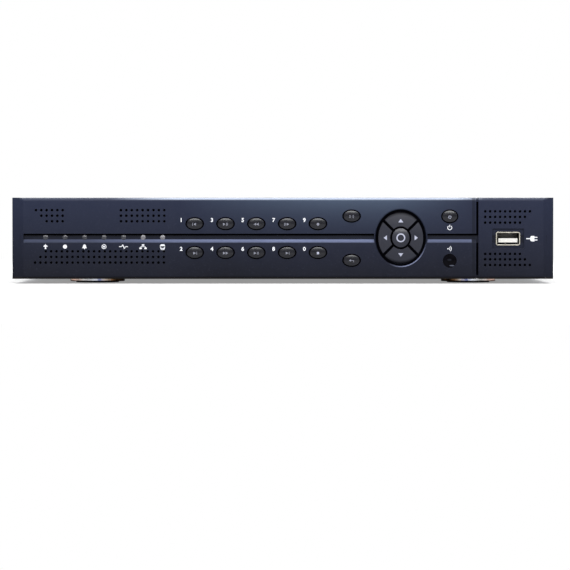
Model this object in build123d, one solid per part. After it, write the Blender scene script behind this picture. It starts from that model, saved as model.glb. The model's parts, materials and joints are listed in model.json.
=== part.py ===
from build123d import *
import math
import os

# Surveillance video recorder: 1U steel case, moulded key fascia, sixteen camera jacks at the back.
# Millimetres. +X is right seen from the front, the front faces -Y, +Z is up.
# The origin is on the floor plane under the middle of the whole recorder.

# ---- driving dimensions -------------------------------------------------
TOTAL_DEPTH = 250.0
FASCIA_WIDTH = 312.0
FASCIA_BOTTOM = 2.7
FASCIA_TOP = 49.5
FASCIA_THICK = 13.0
CASE_WIDTH = 311.0
CASE_BOTTOM = 5.0
CASE_TOP = 48.5
SHEET = 1.0
JACK_REACH = 12.0
KEY_PROUD = 1.0
KEY_TRAVEL = 0.6
GAP = 0.05

# ---- places worked out from them ----------------------------------------
FACE_Y = -TOTAL_DEPTH / 2 + KEY_PROUD
FASCIA_BACK_Y = FACE_Y + FASCIA_THICK
REAR_Y = TOTAL_DEPTH / 2 - JACK_REACH
CASE_FRONT_Y = FASCIA_BACK_Y + GAP
FLOOR_Z = CASE_BOTTOM + SHEET
INNER_X = CASE_WIDTH / 2 - SHEET
INNER_Y = REAR_Y - SHEET

# ---- fascia -------------------------------------------------------------
WALL = 2.2
BEVEL_LEFT_X = -149.3
BEVEL_RIGHT_X = 150.0
BEVEL_DEPTH = 4.0
EDGE_RADIUS = 2.0
SPLIT_LEFT_X = 111.3
SPLIT_RIGHT_X = 112.6
SPLIT_DEPTH = 1.2
TONGUE_INSET = 0.3
GROOVE_LOW = 23.5
GROOVE_HIGH = 28.75
GROOVE_DEPTH = 1.2
GROOVE_BEVEL = 2.0
GROOVE_SLOT = 1.0
GROOVE_SLOT_DEPTH = 1.8
LAMP_Z = 26.6
LAMP_RADIUS = 1.4
LAMP_FIRST_X = -136.6
LAMP_PITCH = 11.23
LAMP_COUNT = 7
DOT_RADIUS = 0.75
DOT_DEPTH = 1.5
UPPER_DOTS_Z = (42.3, 39.1, 35.9)
LOWER_DOTS_Z = (18.6, 15.35, 12.1)
END_UPPER_DOTS_Z = (41.6, 38.4, 35.1)
END_LOWER_DOTS_Z = (17.1, 14.0, 10.7)
CORNER_DOTS = (-126.7, 3.07)
SQUARE_DOTS = (-68.2, 3.12)
LONG_DOTS = (-68.5, 3.09)
END_DOTS = (116.5, 2.86)

# ---- keys ---------------------------------------------------------------
KEY_SIZE = (9.4, 6.2)
KEY_FIRST_X = -50.7
KEY_PITCH = 17.73
KEY_ROWS_Z = (34.5, 17.9)
SIDE_KEY_SIZE = (9.4, 6.2)
SIDE_KEY_X = 39.6
SIDE_KEYS_Z = (38.9, 13.4)
POWER_KEY_SIZE = (8.6, 6.6)
POWER_X = 96.1
POWER_Z = 38.7
KEY_SLIT = 0.7
KEY_FLANGE = 1.2
PAD_SLIT = 0.3
PAD_FLANGE = 0.45
KEY_DOME_RADIUS = 12.5
STEM_RADIUS = 1.5
PAD_X = 67.9
PAD_Z = 26.4
PAD_RECESS = (14.5, 16.3)
PAD_RECESS_DEPTH = 0.9
PAD_RIM = 0.6
PAD_RIM_LAND = 0.3
PAD_OUTER = (12.9, 14.7)
PAD_INNER = (6.1, 6.6)
PAD_RIB = 1.6
PAD_DOME_RADIUS = 90.0
OK_SIZE = (9.9, 10.9)
IR_Z = 13.2
IR_RADIUS = 3.95

# ---- switches and keypad board, stacked behind the fascia wall ------------
FLANGE_Y = FACE_Y + WALL + 0.1
FLANGE_THICK = 0.8
SWITCH = 6.0
SWITCH_Y = -116.6
SWITCH_THICK = 3.5
PLUNGER_RADIUS = 1.7
PLUNGER_PROUD = 1.0
PLUNGER_INSIDE = 1.2
KEYPAD_Y = SWITCH_Y + SWITCH_THICK
KEYPAD_THICK = 1.6

# ---- front USB socket -----------------------------------------------------
USB_X = 129.7
USB_Z = 25.9
USB_RECESS = (18.3, 11.5)
USB_RECESS_DEPTH = 1.2
USB_SHELL = (13.6, 7.4)
USB_WALL = 0.4
USB_LIP = 0.35
USB_LIP_CORNER = 1.2
USB_LENGTH = 17.0

# ---- rear jacks -----------------------------------------------------------
BNC_FIRST_X = 87.4
BNC_PITCH = 18.9
BNC_COLUMNS = 8
BNC_ROWS_Z = (34.2, 18.4)
BNC_RADIUS = 4.8
BNC_BARREL = 4.6
BNC_NOSE = 3.6
BNC_BORE = 4.05
BNC_WASHER = (6.5, 1.0)
BNC_NUT = (11.2, 6.2, 2.0)
BNC_CORE_BACK = 2.6
BNC_PIN_BACK = 4.2
BNC_LUG_RADIUS = 0.95
BNC_LUG_REACH = 5.5
BNC_LUG_BACK = 4.6
BNC_CORE = 2.4
BNC_PIN = 1.1
BNC_PIN_HOLE = 0.68
RCA_ROW_X = (145.5, 131.7, 118.1, 104.0)
RCA_ROW_Z = 39.6
OUT_X = -63.9
OUT_RCA_Z = 18.2
PLUG_Z = 33.9
PAIR_X = -115.4
PAIR_WHITE_Z = 32.3
PAIR_RED_Z = 18.0
RCA_RADIUS = 4.15
RCA_INSIDE_RADIUS = 4.0
RCA_BORE = 3.35
RCA_HOLE = 1.6
RCA_REACH = 10.0
RCA_BASE = 4.85
OUT_RCA_BASE = 5.4
JACK_INSIDE = 6.0
ALARM_X = 113.1
ALARM_Z = 16.15
ALARM_SIZE = (31.9, 7.1)
ALARM_WAYS = 8
DATA_X = -128.2
DATA_Z = 14.85
DATA_SIZE = (8.3, 8.1)
DATA_WAYS = 2
TERMINAL_PITCH = 3.81
AV_X = -81.4
AV_Z = 15.1
AV_SIZE = (15.4, 6.4)
STACK_X = -99.7
STACK_SIZE = (17.6, 31.0)
STACK_Z = 27.6
LAN_SIZE = (12.1, 7.5)
LAN_LOW = 31.2
LAN_NOTCH = (6.4, 2.5)
LAMP_WINDOW = (3.6, 2.6)
LAMP_WINDOW_X = 5.9
LAMP_WINDOW_Z = 40.5
LAMP_WINDOW_BACK = REAR_Y - 4.0
STACK_USB_SIZE = (12.65, 4.9)
STACK_USB_Z = (23.75, 14.95)
MONITOR_X = -136.2
MONITOR_Z = 34.8
MONITOR_SIZE = (16.9, 9.5)
MONITOR_FLANGE = (30.0, 12.4)
MONITOR_REACH = 5.8
JACK_SCREW_SPACING = 24.99
JACK_SCREW_HOLE = 1.55
DC_X = -137.2
DC_SIZE = (9.0, 10.8)
DC_Z = 16.9
DC_HOLE_Z = 17.9
DC_HOLE = 3.15
DC_PIN = 1.0
GROUND_X = -146.9
GROUND_Z = 25.5
GROUND_RADIUS = 3.85
PANEL_SCREW_X = -122.6
PANEL_SCREW_Z = 24.5
PANEL_SCREW_RADIUS = 2.75

# ---- inside ---------------------------------------------------------------
BOARD_Z = 8.6
BOARD_THICK = 1.6
BOARD_FRONT_Y = 5.0
BOARD_TOP = BOARD_Z + BOARD_THICK
DRIVE_LEFT_X = -146.0
DRIVE_FRONT_Y = -104.0
DRIVE_LENGTH = 147.0
DRIVE_WIDTH = 101.6
DRIVE_Z = 7.5
DRIVE_HEIGHT = 26.1
DRIVE_LID = 2.0
SPINDLE = (-94.5, -53.2)
ARM_PIVOT = (-33.0, -34.0)
ARM_LENGTH = 48.0
ARM_REST_ANGLE = 239.3
FAN_Y = -60.0
FAN_Z = 26.6
FAN_SIZE = 40.0
FAN_OUTER_X = 153.2
FAN_THICK = 9.8

# ---- feet -----------------------------------------------------------------
FOOT_X = 109.0
FOOT_ROWS_Y = (-84.0, 84.0)
FOOT_RADIUS = 16.0
PAD_RADIUS = 12.5


# ---- helpers --------------------------------------------------------------
def block(x0, x1, y0, y1, z0, z1):
    """Box between two opposite corners."""
    return Pos((x0 + x1) / 2, (y0 + y1) / 2, (z0 + z1) / 2) * Box(x1 - x0, y1 - y0, z1 - z0)


def along_y(sketch, y0, y1):
    """Prism of a front-view sketch (X right, Z up) from y0 back to y1."""
    return extrude(Plane.XZ.offset(-y0) * sketch, amount=y0 - y1)


def along_x(sketch, x0, x1):
    """Prism of a side-view sketch (Y right, Z up) from x0 to x1."""
    return extrude(Plane.YZ.offset(x0) * sketch, amount=x1 - x0)


def along_z(sketch, z0, z1):
    """Prism of a plan-view sketch from z0 up to z1."""
    return extrude(Plane.XY.offset(z0) * sketch, amount=z1 - z0)


def rod_y(x, z, radius, y0, y1):
    return along_y(Pos(x, z) * Circle(radius), y0, y1)


def rod_z(x, y, radius, z0, z1):
    return along_z(Pos(x, y) * Circle(radius), z0, z1)


def rod_x(y, z, radius, x0, x1):
    return along_x(Pos(y, z) * Circle(radius), x0, x1)


def centred(x, z, size):
    """Front-view rectangle about a centre."""
    return Pos(x, z) * Rectangle(*size)


def grown(size, by):
    return (size[0] + by, size[1] + by)


def save(name, solids):
    """One STEP file per sub-part; a group keeps its pieces as separate solids."""
    shapes = []
    for solid in solids:
        shapes.extend(solid.solids())
    whole = shapes[0] if len(shapes) == 1 else Compound(children=shapes)
    whole.label = name
    export_step(whole, f"parts/{name}.step")


# ---- places of things that repeat -----------------------------------------
def bnc_places():
    return [
        (BNC_FIRST_X - BNC_PITCH * column, z)
        for z in BNC_ROWS_Z
        for column in range(BNC_COLUMNS)
    ]


def red_jack_places():
    return [(x, RCA_ROW_Z) for x in RCA_ROW_X] + [(PAIR_X, PAIR_RED_Z)]


def white_jack_places():
    return [(PAIR_X, PAIR_WHITE_Z), (OUT_X, OUT_RCA_Z)]


def lamp_places():
    return [(LAMP_FIRST_X + LAMP_PITCH * k, LAMP_Z) for k in range(LAMP_COUNT)]


def stack_windows(margin):
    """Outlines of the two lamp windows above the network opening."""
    size = grown(LAMP_WINDOW, margin)
    return [centred(STACK_X + side * LAMP_WINDOW_X, LAMP_WINDOW_Z, size) for side in (-1, 1)]


def dot_row(group, count, z, step=-1):
    """Dots in one row, counted from the end that lines up with its neighbours."""
    last_x, pitch = group
    return [(last_x + step * pitch * k, z) for k in range(count)]


def main_dots():
    """Decorative dots in the main fascia: two groups above the lamps, one below."""
    dots = []
    for z, count in zip(UPPER_DOTS_Z, (6, 5, 4)):
        dots += dot_row(CORNER_DOTS, count, z)
    for z in UPPER_DOTS_Z:
        dots += dot_row(SQUARE_DOTS, 9, z)
    for z, count in zip(LOWER_DOTS_Z, (23, 24, 25)):
        dots += dot_row(LONG_DOTS, count, z)
    return dots


def end_dots():
    """Decorative dots in the right end moulding, above and below its socket."""
    dots = []
    for z, count in zip(END_UPPER_DOTS_Z, (10, 9, 8)):
        dots += dot_row(END_DOTS, count, z, step=1)
    for z, count in zip(END_LOWER_DOTS_Z, (8, 9, 10)):
        dots += dot_row(END_DOTS, count, z, step=1)
    return dots


def switch_places():
    """Stem place of every key, which is also where its switch stands."""
    reach_x = (PAD_OUTER[0] + PAD_INNER[0]) / 2
    reach_z = (PAD_OUTER[1] + PAD_INNER[1]) / 2
    places = {}
    for row, digits in zip(KEY_ROWS_Z, ((1, 3, 5, 7, 9), (2, 4, 6, 8, 0))):
        for column, digit in enumerate(digits):
            places[f"key_{digit}"] = (KEY_FIRST_X + KEY_PITCH * column, row)
    places["key_upper"] = (SIDE_KEY_X, SIDE_KEYS_Z[0])
    places["key_lower"] = (SIDE_KEY_X, SIDE_KEYS_Z[1])
    places["key_power"] = (POWER_X, POWER_Z)
    places["key_ok"] = (PAD_X, PAD_Z)
    places["arrow_up"] = (PAD_X, PAD_Z + reach_z)
    places["arrow_down"] = (PAD_X, PAD_Z - reach_z)
    places["arrow_left"] = (PAD_X - reach_x, PAD_Z)
    places["arrow_right"] = (PAD_X + reach_x, PAD_Z)
    return places


SWITCHES = switch_places()


# ---- keys -----------------------------------------------------------------
def oval(size, margin=0.0):
    """Ellipse of a full width and height, grown all round by a margin."""
    return Ellipse(size[0] / 2 + margin, size[1] / 2 + margin)


def sector(turn, margin):
    """One quarter of the arrow ring; margin grows it on every side."""
    outer = Ellipse(PAD_OUTER[0] + margin, PAD_OUTER[1] + margin)
    inner = Ellipse(PAD_INNER[0] - margin, PAD_INNER[1] - margin)
    half_rib = PAD_RIB / 2 - margin
    apex = half_rib * math.sqrt(2)
    far = 2 * PAD_OUTER[1]
    wedge = Polygon((0, apex), (far, apex + far), (-far, apex + far), align=None)
    return (outer - inner) & (Rot(0, 0, turn) * wedge)


SECTOR_TURNS = {"arrow_up": 0, "arrow_left": 90, "arrow_down": 180, "arrow_right": 270}
PAD_KEYS = list(SECTOR_TURNS) + ["key_ok"]
OVAL_SIZES = {"key_upper": SIDE_KEY_SIZE, "key_lower": SIDE_KEY_SIZE, "key_power": POWER_KEY_SIZE}


def key_sketch(name, margin):
    """Front outline of a key in the fascia's own coordinates."""
    if name in SECTOR_TURNS:
        return Pos(PAD_X, PAD_Z) * sector(SECTOR_TURNS[name], margin)
    if name == "key_ok":
        return Pos(PAD_X, PAD_Z) * oval(OK_SIZE, margin)
    return Pos(*SWITCHES[name]) * oval(OVAL_SIZES.get(name, KEY_SIZE), margin)


def domed(prism, x, z, front_y, radius):
    """Rounds the front of a prism with a ball that touches front_y on the axis (x, z)."""
    return prism & (Pos(x, front_y + radius, z) * Sphere(radius))


def key_solids(name):
    """Cap, retaining flange and stem of one key, and the switch plunger it presses."""
    x, z = SWITCHES[name]
    front = FACE_Y - KEY_PROUD
    cap = along_y(key_sketch(name, 0.0), front, FLANGE_Y + GAP)
    if name in SECTOR_TURNS:
        cap = domed(cap, PAD_X, PAD_Z, front + 0.7, PAD_DOME_RADIUS)
    elif name == "key_ok":
        cap = domed(cap, PAD_X, PAD_Z, front + 0.1, 1.6 * KEY_DOME_RADIUS)
    else:
        cap = domed(cap, x, z, front, KEY_DOME_RADIUS)
    flange_margin = PAD_FLANGE if name in PAD_KEYS else KEY_FLANGE
    flange = along_y(key_sketch(name, flange_margin), FLANGE_Y, FLANGE_Y + FLANGE_THICK)
    plunger_y = SWITCH_Y - PLUNGER_PROUD
    stem = rod_y(x, z, STEM_RADIUS, FLANGE_Y + FLANGE_THICK - GAP, plunger_y)
    plunger = rod_y(x, z, PLUNGER_RADIUS, plunger_y, SWITCH_Y + PLUNGER_INSIDE)
    return [cap + flange + stem, plunger]


# ---- fascia ---------------------------------------------------------------
def fascia_body(x0, x1):
    """Outer shape of the fascia between two X positions, ends bevelled, long edges rounded."""
    half = FASCIA_WIDTH / 2
    plan = Polygon(
        (-half, FASCIA_BACK_Y),
        (-half, FACE_Y + BEVEL_DEPTH),
        (BEVEL_LEFT_X, FACE_Y),
        (BEVEL_RIGHT_X, FACE_Y),
        (half, FACE_Y + BEVEL_DEPTH),
        (half, FASCIA_BACK_Y),
        align=None,
    )
    height = FASCIA_TOP - FASCIA_BOTTOM
    side = Pos((FACE_Y + FASCIA_BACK_Y) / 2, (FASCIA_TOP + FASCIA_BOTTOM) / 2) * Rectangle(
        FASCIA_THICK, height
    )
    side = fillet(side.vertices().sort_by(Axis.X)[:2], EDGE_RADIUS)
    whole = along_z(plan, FASCIA_BOTTOM, FASCIA_TOP) & along_x(side, -half, half)
    return whole & block(x0, x1, FACE_Y, FASCIA_BACK_Y, FASCIA_BOTTOM, FASCIA_TOP)


def fascia_hollow(x0, x1):
    inset = 2.0
    return block(
        x0, x1, FACE_Y + WALL, FASCIA_BACK_Y, FASCIA_BOTTOM + inset, FASCIA_TOP - inset
    )


def groove():
    """Horizontal groove: a deep slot under its upper lip, a flat floor, a sloping lower bevel."""
    section = Polygon(
        (FACE_Y - 1, GROOVE_LOW),
        (FACE_Y, GROOVE_LOW),
        (FACE_Y + GROOVE_DEPTH, GROOVE_LOW + GROOVE_BEVEL),
        (FACE_Y + GROOVE_DEPTH, GROOVE_HIGH - GROOVE_SLOT),
        (FACE_Y + GROOVE_SLOT_DEPTH, GROOVE_HIGH - GROOVE_SLOT),
        (FACE_Y + GROOVE_SLOT_DEPTH, GROOVE_HIGH),
        (FACE_Y - 1, GROOVE_HIGH),
        align=None,
    )
    beside = PAD_RIM + PAD_RIM_LAND
    margin = Ellipse(PAD_RECESS[0] + beside, PAD_RECESS[1] + beside)
    clear = along_y(Pos(PAD_X, PAD_Z) * margin, FACE_Y - 2, FACE_Y + WALL)
    return along_x(section, BEVEL_LEFT_X, SPLIT_LEFT_X) - clear


def pad_rim():
    """Sloping rim round the pad's recess, cut as a cone frustum with an elliptic section."""
    wide = Pos(PAD_X, PAD_Z) * Ellipse(PAD_RECESS[0] + PAD_RIM, PAD_RECESS[1] + PAD_RIM)
    narrow = Pos(PAD_X, PAD_Z) * Ellipse(*PAD_RECESS)
    return loft([Plane.XZ.offset(-FACE_Y) * wide, Plane.XZ.offset(-FACE_Y - PAD_RIM) * narrow])


def dot_cutters(places):
    """Blind decorative dots; the row beside the bevel stays clear of the slope."""
    return [rod_y(x, z, DOT_RADIUS, FACE_Y - 1, FACE_Y + DOT_DEPTH) for x, z in places]


def front_bezel():
    body = fascia_body(-FASCIA_WIDTH / 2, SPLIT_LEFT_X)
    body -= fascia_hollow(-FASCIA_WIDTH / 2 + 6.0, SPLIT_LEFT_X - 2.0)
    body -= groove()
    body -= along_y(
        Pos(PAD_X, PAD_Z) * Ellipse(*PAD_RECESS), FACE_Y - 1, FACE_Y + PAD_RECESS_DEPTH
    )
    body -= pad_rim()
    openings = [key_sketch(name, PAD_SLIT if name in PAD_KEYS else KEY_SLIT) for name in SWITCHES]
    openings.append(Pos(POWER_X, IR_Z) * Circle(IR_RADIUS + GAP))
    openings += [Pos(x, z) * Circle(LAMP_RADIUS + GAP) for x, z in lamp_places()]
    cutters = [along_y(sketch, FACE_Y - 1, FACE_Y + WALL + 1) for sketch in openings]
    body -= cutters + dot_cutters(main_dots())
    tongue = block(
        SPLIT_LEFT_X - GAP,
        SPLIT_RIGHT_X - 0.1,
        FACE_Y + SPLIT_DEPTH,
        FASCIA_BACK_Y,
        FASCIA_BOTTOM + TONGUE_INSET,
        FASCIA_TOP - TONGUE_INSET,
    )
    return body + tongue


def usb_end_panel():
    half = FASCIA_WIDTH / 2
    body = fascia_body(SPLIT_RIGHT_X, half)
    body -= fascia_hollow(SPLIT_RIGHT_X + 2.0, half - 6.0)
    recess = centred(USB_X, USB_Z, USB_RECESS)
    recess = fillet(recess.vertices(), 0.6)
    body -= along_y(recess, FACE_Y - 1, FACE_Y + USB_RECESS_DEPTH)
    body -= along_y(centred(USB_X, USB_Z, grown(USB_SHELL, 0.3)), FACE_Y, FACE_Y + WALL + 1)
    return body - dot_cutters(end_dots())


def ir_window():
    front = FACE_Y - 0.4
    lens = rod_y(POWER_X, IR_Z, IR_RADIUS, front, FLANGE_Y + GAP)
    lens = domed(lens, POWER_X, IR_Z, front, 24.0)
    return [lens + rod_y(POWER_X, IR_Z, IR_RADIUS + 1.0, FLANGE_Y, FLANGE_Y + 1.5)]


def led_light_pipes():
    """Front status lamps, and the two lamp windows of the network jack."""
    front = FACE_Y + GROOVE_DEPTH - 0.4
    pipes = []
    for x, z in lamp_places():
        pipe = rod_y(x, z, LAMP_RADIUS, front, KEYPAD_Y - 1.5)
        pipes.append(domed(pipe, x, z, front, 3.2))
    pipes += [along_y(window, LAMP_WINDOW_BACK, REAR_Y + 0.95) for window in stack_windows(-0.1)]
    return pipes


# ---- keypad electronics -----------------------------------------------------
def keypad_board():
    """Key board behind the fascia, and the small board that carries the front socket."""
    board = block(-147.0, 107.0, KEYPAD_Y, KEYPAD_Y + KEYPAD_THICK, 7.5, 46.0)
    socket_top = USB_Z - USB_SHELL[1] / 2
    socket_board = block(
        USB_X - 11.0, USB_X + 11.0, -118.0, -98.0, socket_top - KEYPAD_THICK, socket_top
    )
    return [board, socket_board]


def keypad_components():
    """Switch bodies with a well for the plunger, lamp chips and the infrared receiver."""
    pieces = []
    for x, z in SWITCHES.values():
        body = block(
            x - SWITCH / 2, x + SWITCH / 2, SWITCH_Y, KEYPAD_Y, z - SWITCH / 2, z + SWITCH / 2
        )
        well = rod_y(x, z, PLUNGER_RADIUS + GAP, SWITCH_Y - 1, SWITCH_Y + PLUNGER_INSIDE + KEY_TRAVEL + 0.2)
        pieces.append(body - well)
    for x, z in lamp_places():
        pieces.append(block(x - 1.6, x + 1.6, KEYPAD_Y - 1.0, KEYPAD_Y, z - 0.8, z + 0.8))
    receiver = block(POWER_X - 3.2, POWER_X + 3.2, -118.2, KEYPAD_Y, IR_Z - 3.4, IR_Z + 3.4)
    pieces.append(receiver + Pos(POWER_X, -118.2, IR_Z) * Sphere(1.9))
    return pieces


# ---- front USB socket -------------------------------------------------------
def usb_sleeve(x, z, size, y0, y1, wall):
    """Folded sheet-metal sleeve with softly rounded corners."""
    outer = fillet(centred(x, z, size).vertices(), 0.7)
    inner = fillet(centred(x, z, grown(size, -2 * wall)).vertices(), 0.35)
    return along_y(outer, y0, y1) - along_y(inner, y0 - 1, y1 - 1.0)


def front_usb_shell():
    front = FACE_Y + USB_RECESS_DEPTH - 0.6
    sleeve = usb_sleeve(USB_X, USB_Z, USB_SHELL, front, front + USB_LENGTH, USB_WALL)
    rim_y = FACE_Y + USB_RECESS_DEPTH
    lip = fillet(centred(USB_X, USB_Z, grown(USB_SHELL, USB_LIP)).vertices(), USB_LIP_CORNER)
    rim = along_y(lip, rim_y - 0.6, rim_y)
    rim -= along_y(centred(USB_X, USB_Z, grown(USB_SHELL, -0.2)), rim_y - 2, rim_y + 1)
    return [sleeve + rim]


def front_usb_tongue():
    """Insulating tongue in the lower half of the opening."""
    front = FACE_Y + USB_RECESS_DEPTH + 0.8
    back = FACE_Y + USB_RECESS_DEPTH - 0.6 + USB_LENGTH - 1.0
    inside = grown(USB_SHELL, -2 * USB_WALL - 0.1)
    tongue = centred(USB_X, USB_Z - 1.0, (inside[0] - 1.6, 2.4))
    heel = block(
        USB_X - inside[0] / 2 + 0.3,
        USB_X + inside[0] / 2 - 0.3,
        back - 4.0,
        back,
        USB_Z - inside[1] / 2 + 0.2,
        USB_Z + inside[1] / 2 - 0.2,
    )
    return [along_y(tongue, front, back - 1.0) + heel]


# ---- sheet metal --------------------------------------------------------------
def d_outline(size, radius):
    """D-shaped outline, wide side up, sides leaning ten degrees."""
    shape = Rot(0, 0, 180) * Trapezoid(size[0], size[1], 80)
    return fillet(shape.vertices(), radius)


def av_outline(size):
    """Flat-topped outline with the two lower corners cut away."""
    half_w = size[0] / 2
    half_h = size[1] / 2
    cut_w = 0.10 * size[0]
    cut_h = 0.32 * size[1]
    shape = Polygon(
        (-half_w, half_h),
        (-half_w, -half_h + cut_h),
        (-half_w + cut_w, -half_h),
        (half_w - cut_w, -half_h),
        (half_w, -half_h + cut_h),
        (half_w, half_h),
        align=None,
    )
    return fillet(shape.vertices(), 0.5)


def rear_openings():
    """Every opening in the rear panel, as front-view sketches."""
    holes = [Pos(x, z) * Circle(BNC_BARREL + GAP) for x, z in bnc_places()]
    holes += [
        Pos(x, z) * Circle(RCA_INSIDE_RADIUS + GAP)
        for x, z in red_jack_places() + white_jack_places()
    ]
    holes.append(Pos(OUT_X, PLUG_Z) * Circle(6.5))
    holes.append(centred(ALARM_X, ALARM_Z, grown(ALARM_SIZE, 0.2)))
    holes.append(centred(DATA_X, DATA_Z, grown(DATA_SIZE, 0.2)))
    holes.append(Pos(AV_X, AV_Z) * av_outline(grown(AV_SIZE, 0.2)))
    holes.append(centred(STACK_X, STACK_Z, grown(STACK_SIZE, 0.2)))
    holes.append(Pos(MONITOR_X, MONITOR_Z) * d_outline(grown(MONITOR_SIZE, 0.3), 2.1))
    holes += [
        Pos(MONITOR_X + side * JACK_SCREW_SPACING / 2, MONITOR_Z) * Circle(JACK_SCREW_HOLE)
        for side in (-1, 1)
    ]
    holes.append(centred(DC_X, DC_Z, grown(DC_SIZE, 0.2)))
    holes.append(Pos(GROUND_X, GROUND_Z) * Circle(1.95))
    holes.append(Pos(PANEL_SCREW_X, PANEL_SCREW_Z) * Circle(1.45))
    return holes


def side_screw_places():
    return [(side, y) for side in (-1, 1) for y in (-95.0, 0.0, 95.0)]


def board_screw_places():
    return [(x, y) for x in (-145.0, 0.0, 145.0) for y in (12.0, 80.0)]


SIDE_SCREW_Z = 12.0


VENT_COUNT = 9
VENT_PITCH = 5.0
VENT_SIZE = (24.0, 2.4)
VENT_MARGIN = 1.2
FLANGE_TOP = 20.0


def base_pan():
    """Bent sheet: floor, rear panel, front wall, side flanges, board stands and drive stands."""
    wide = INNER_X - 0.1
    top = CASE_TOP - SHEET - 0.1
    pan = block(-wide, wide, CASE_FRONT_Y, REAR_Y, CASE_BOTTOM, FLOOR_Z)
    pan += block(-wide, wide, INNER_Y, REAR_Y, CASE_BOTTOM, top)
    wall = block(-wide, wide, CASE_FRONT_Y, CASE_FRONT_Y + SHEET, CASE_BOTTOM, top)
    for x0, x1 in ((-140.0, -20.0), (-10.0, 100.0), (USB_X - 14.0, USB_X + 14.0)):
        wall -= block(x0, x1, CASE_FRONT_Y - 1, CASE_FRONT_Y + 2, 11.0, 42.0)
    pan += wall
    for side in (-1, 1):
        low, high = sorted((side * (wide - SHEET), side * wide))
        flange = block(low, high, CASE_FRONT_Y, REAR_Y, CASE_BOTTOM, FLANGE_TOP)
        reach = (VENT_COUNT - 1) / 2 * VENT_PITCH + VENT_SIZE[1] / 2 + VENT_MARGIN
        notch_low = FAN_Z - VENT_SIZE[0] / 2 - VENT_MARGIN
        flange -= block(low - 1, high + 1, FAN_Y - reach, FAN_Y + reach, notch_low, FLANGE_TOP + 1)
        pan += flange
    for x, y in board_screw_places():
        stand = rod_z(x, y, 3.0, FLOOR_Z - GAP, BOARD_Z)
        pan += stand
        pan -= rod_z(x, y, 1.3, FLOOR_Z, BOARD_Z + 1)
    for x in (DRIVE_LEFT_X + 12.0, DRIVE_LEFT_X + DRIVE_LENGTH - 12.0):
        for y in (DRIVE_FRONT_Y + 8.0, DRIVE_FRONT_Y + DRIVE_WIDTH - 8.0):
            pan += rod_z(x, y, 4.0, FLOOR_Z - GAP, DRIVE_Z)
    pan -= [along_y(sketch, INNER_Y - 1, REAR_Y + 1) for sketch in rear_openings()]
    for side, y in side_screw_places():
        low, high = sorted((side * (wide - 2.0), side * (wide + 1.0)))
        pan -= rod_x(y, SIDE_SCREW_Z, 1.45, low, high)
    for x in (-FOOT_X, FOOT_X):
        for y in FOOT_ROWS_Y:
            pan -= rod_z(x, y, 1.45, CASE_BOTTOM - 1, FLOOR_Z + 1)
    return [pan]


LIP_WIDTH = 2.5
LIP_THICK = 0.8


def top_cover():
    """Top and both sides in one bent sheet, with a narrow lip framing the rear panel."""
    half = CASE_WIDTH / 2
    back = REAR_Y + GAP + LIP_THICK
    outer = Pos(0, (CASE_TOP + CASE_BOTTOM) / 2) * Rectangle(CASE_WIDTH, CASE_TOP - CASE_BOTTOM)
    outer = fillet(outer.vertices().sort_by(Axis.Y)[2:], 1.5)
    cover = along_y(outer, CASE_FRONT_Y, back)
    inner_top = CASE_TOP - SHEET
    cover -= block(-INNER_X, INNER_X, CASE_FRONT_Y - 1, REAR_Y + GAP, 0, inner_top)
    cover -= block(
        -half + LIP_WIDTH, half - LIP_WIDTH, REAR_Y - 1, back + 1, 0, CASE_TOP - LIP_WIDTH
    )
    vents = []
    for k in range(VENT_COUNT):
        y = FAN_Y + (k - (VENT_COUNT - 1) / 2) * VENT_PITCH
        slot = Pos(y, FAN_Z) * (Rot(0, 0, 90) * SlotOverall(*VENT_SIZE))
        vents.append(along_x(slot, -half - 1, -INNER_X + 1))
        vents.append(along_x(slot, INNER_X - 1, half + 1))
    for side, y in side_screw_places():
        low, high = sorted((side * (INNER_X - 1), side * (half + 1)))
        vents.append(rod_x(y, SIDE_SCREW_Z, 2.95, low, high))
    return [cover - vents]


def cross_head(x, y, z, direction, radius, head, shank, length):
    """Screw with a cross recess; direction is the way its head faces."""
    slot_w = 0.22 * radius
    body = Cylinder(radius, head, align=(Align.CENTER, Align.CENTER, Align.MIN))
    body = chamfer(body.edges().filter_by(GeomType.CIRCLE).sort_by(Axis.Z)[-1], 0.3 * head)
    recess = Box(1.15 * radius, slot_w, head) + Box(slot_w, 1.15 * radius, head)
    body -= Pos(0, 0, head) * recess
    body += Cylinder(shank, length, align=(Align.CENTER, Align.CENTER, Align.MAX))
    return Plane(origin=(x, y, z), z_dir=direction) * body


def case_screws():
    """Side screws, one panel screw, the main board's screws and the foot screws."""
    screws = []
    for side, y in side_screw_places():
        screws.append(
            cross_head(side * (INNER_X - 0.05), y, SIDE_SCREW_Z, (side, 0, 0), 2.85, 0.95, 1.4, 2.6)
        )
    screws.append(
        cross_head(PANEL_SCREW_X, REAR_Y, PANEL_SCREW_Z, (0, 1, 0), PANEL_SCREW_RADIUS, 1.8, 1.4, 5.0)
    )
    for x, y in board_screw_places():
        screws.append(cross_head(x, y, BOARD_TOP, (0, 0, 1), 2.6, 1.6, 1.25, 3.6))
    for x in (-FOOT_X, FOOT_X):
        for y in FOOT_ROWS_Y:
            screws.append(cross_head(x, y, CASE_BOTTOM - 1.0, (0, 0, -1), 2.6, 0.8, 1.4, 3.2))
    return screws


def ground_screw():
    return [cross_head(GROUND_X, REAR_Y, GROUND_Z, (0, 1, 0), GROUND_RADIUS, 2.4, 1.9, 6.0)]


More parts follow.
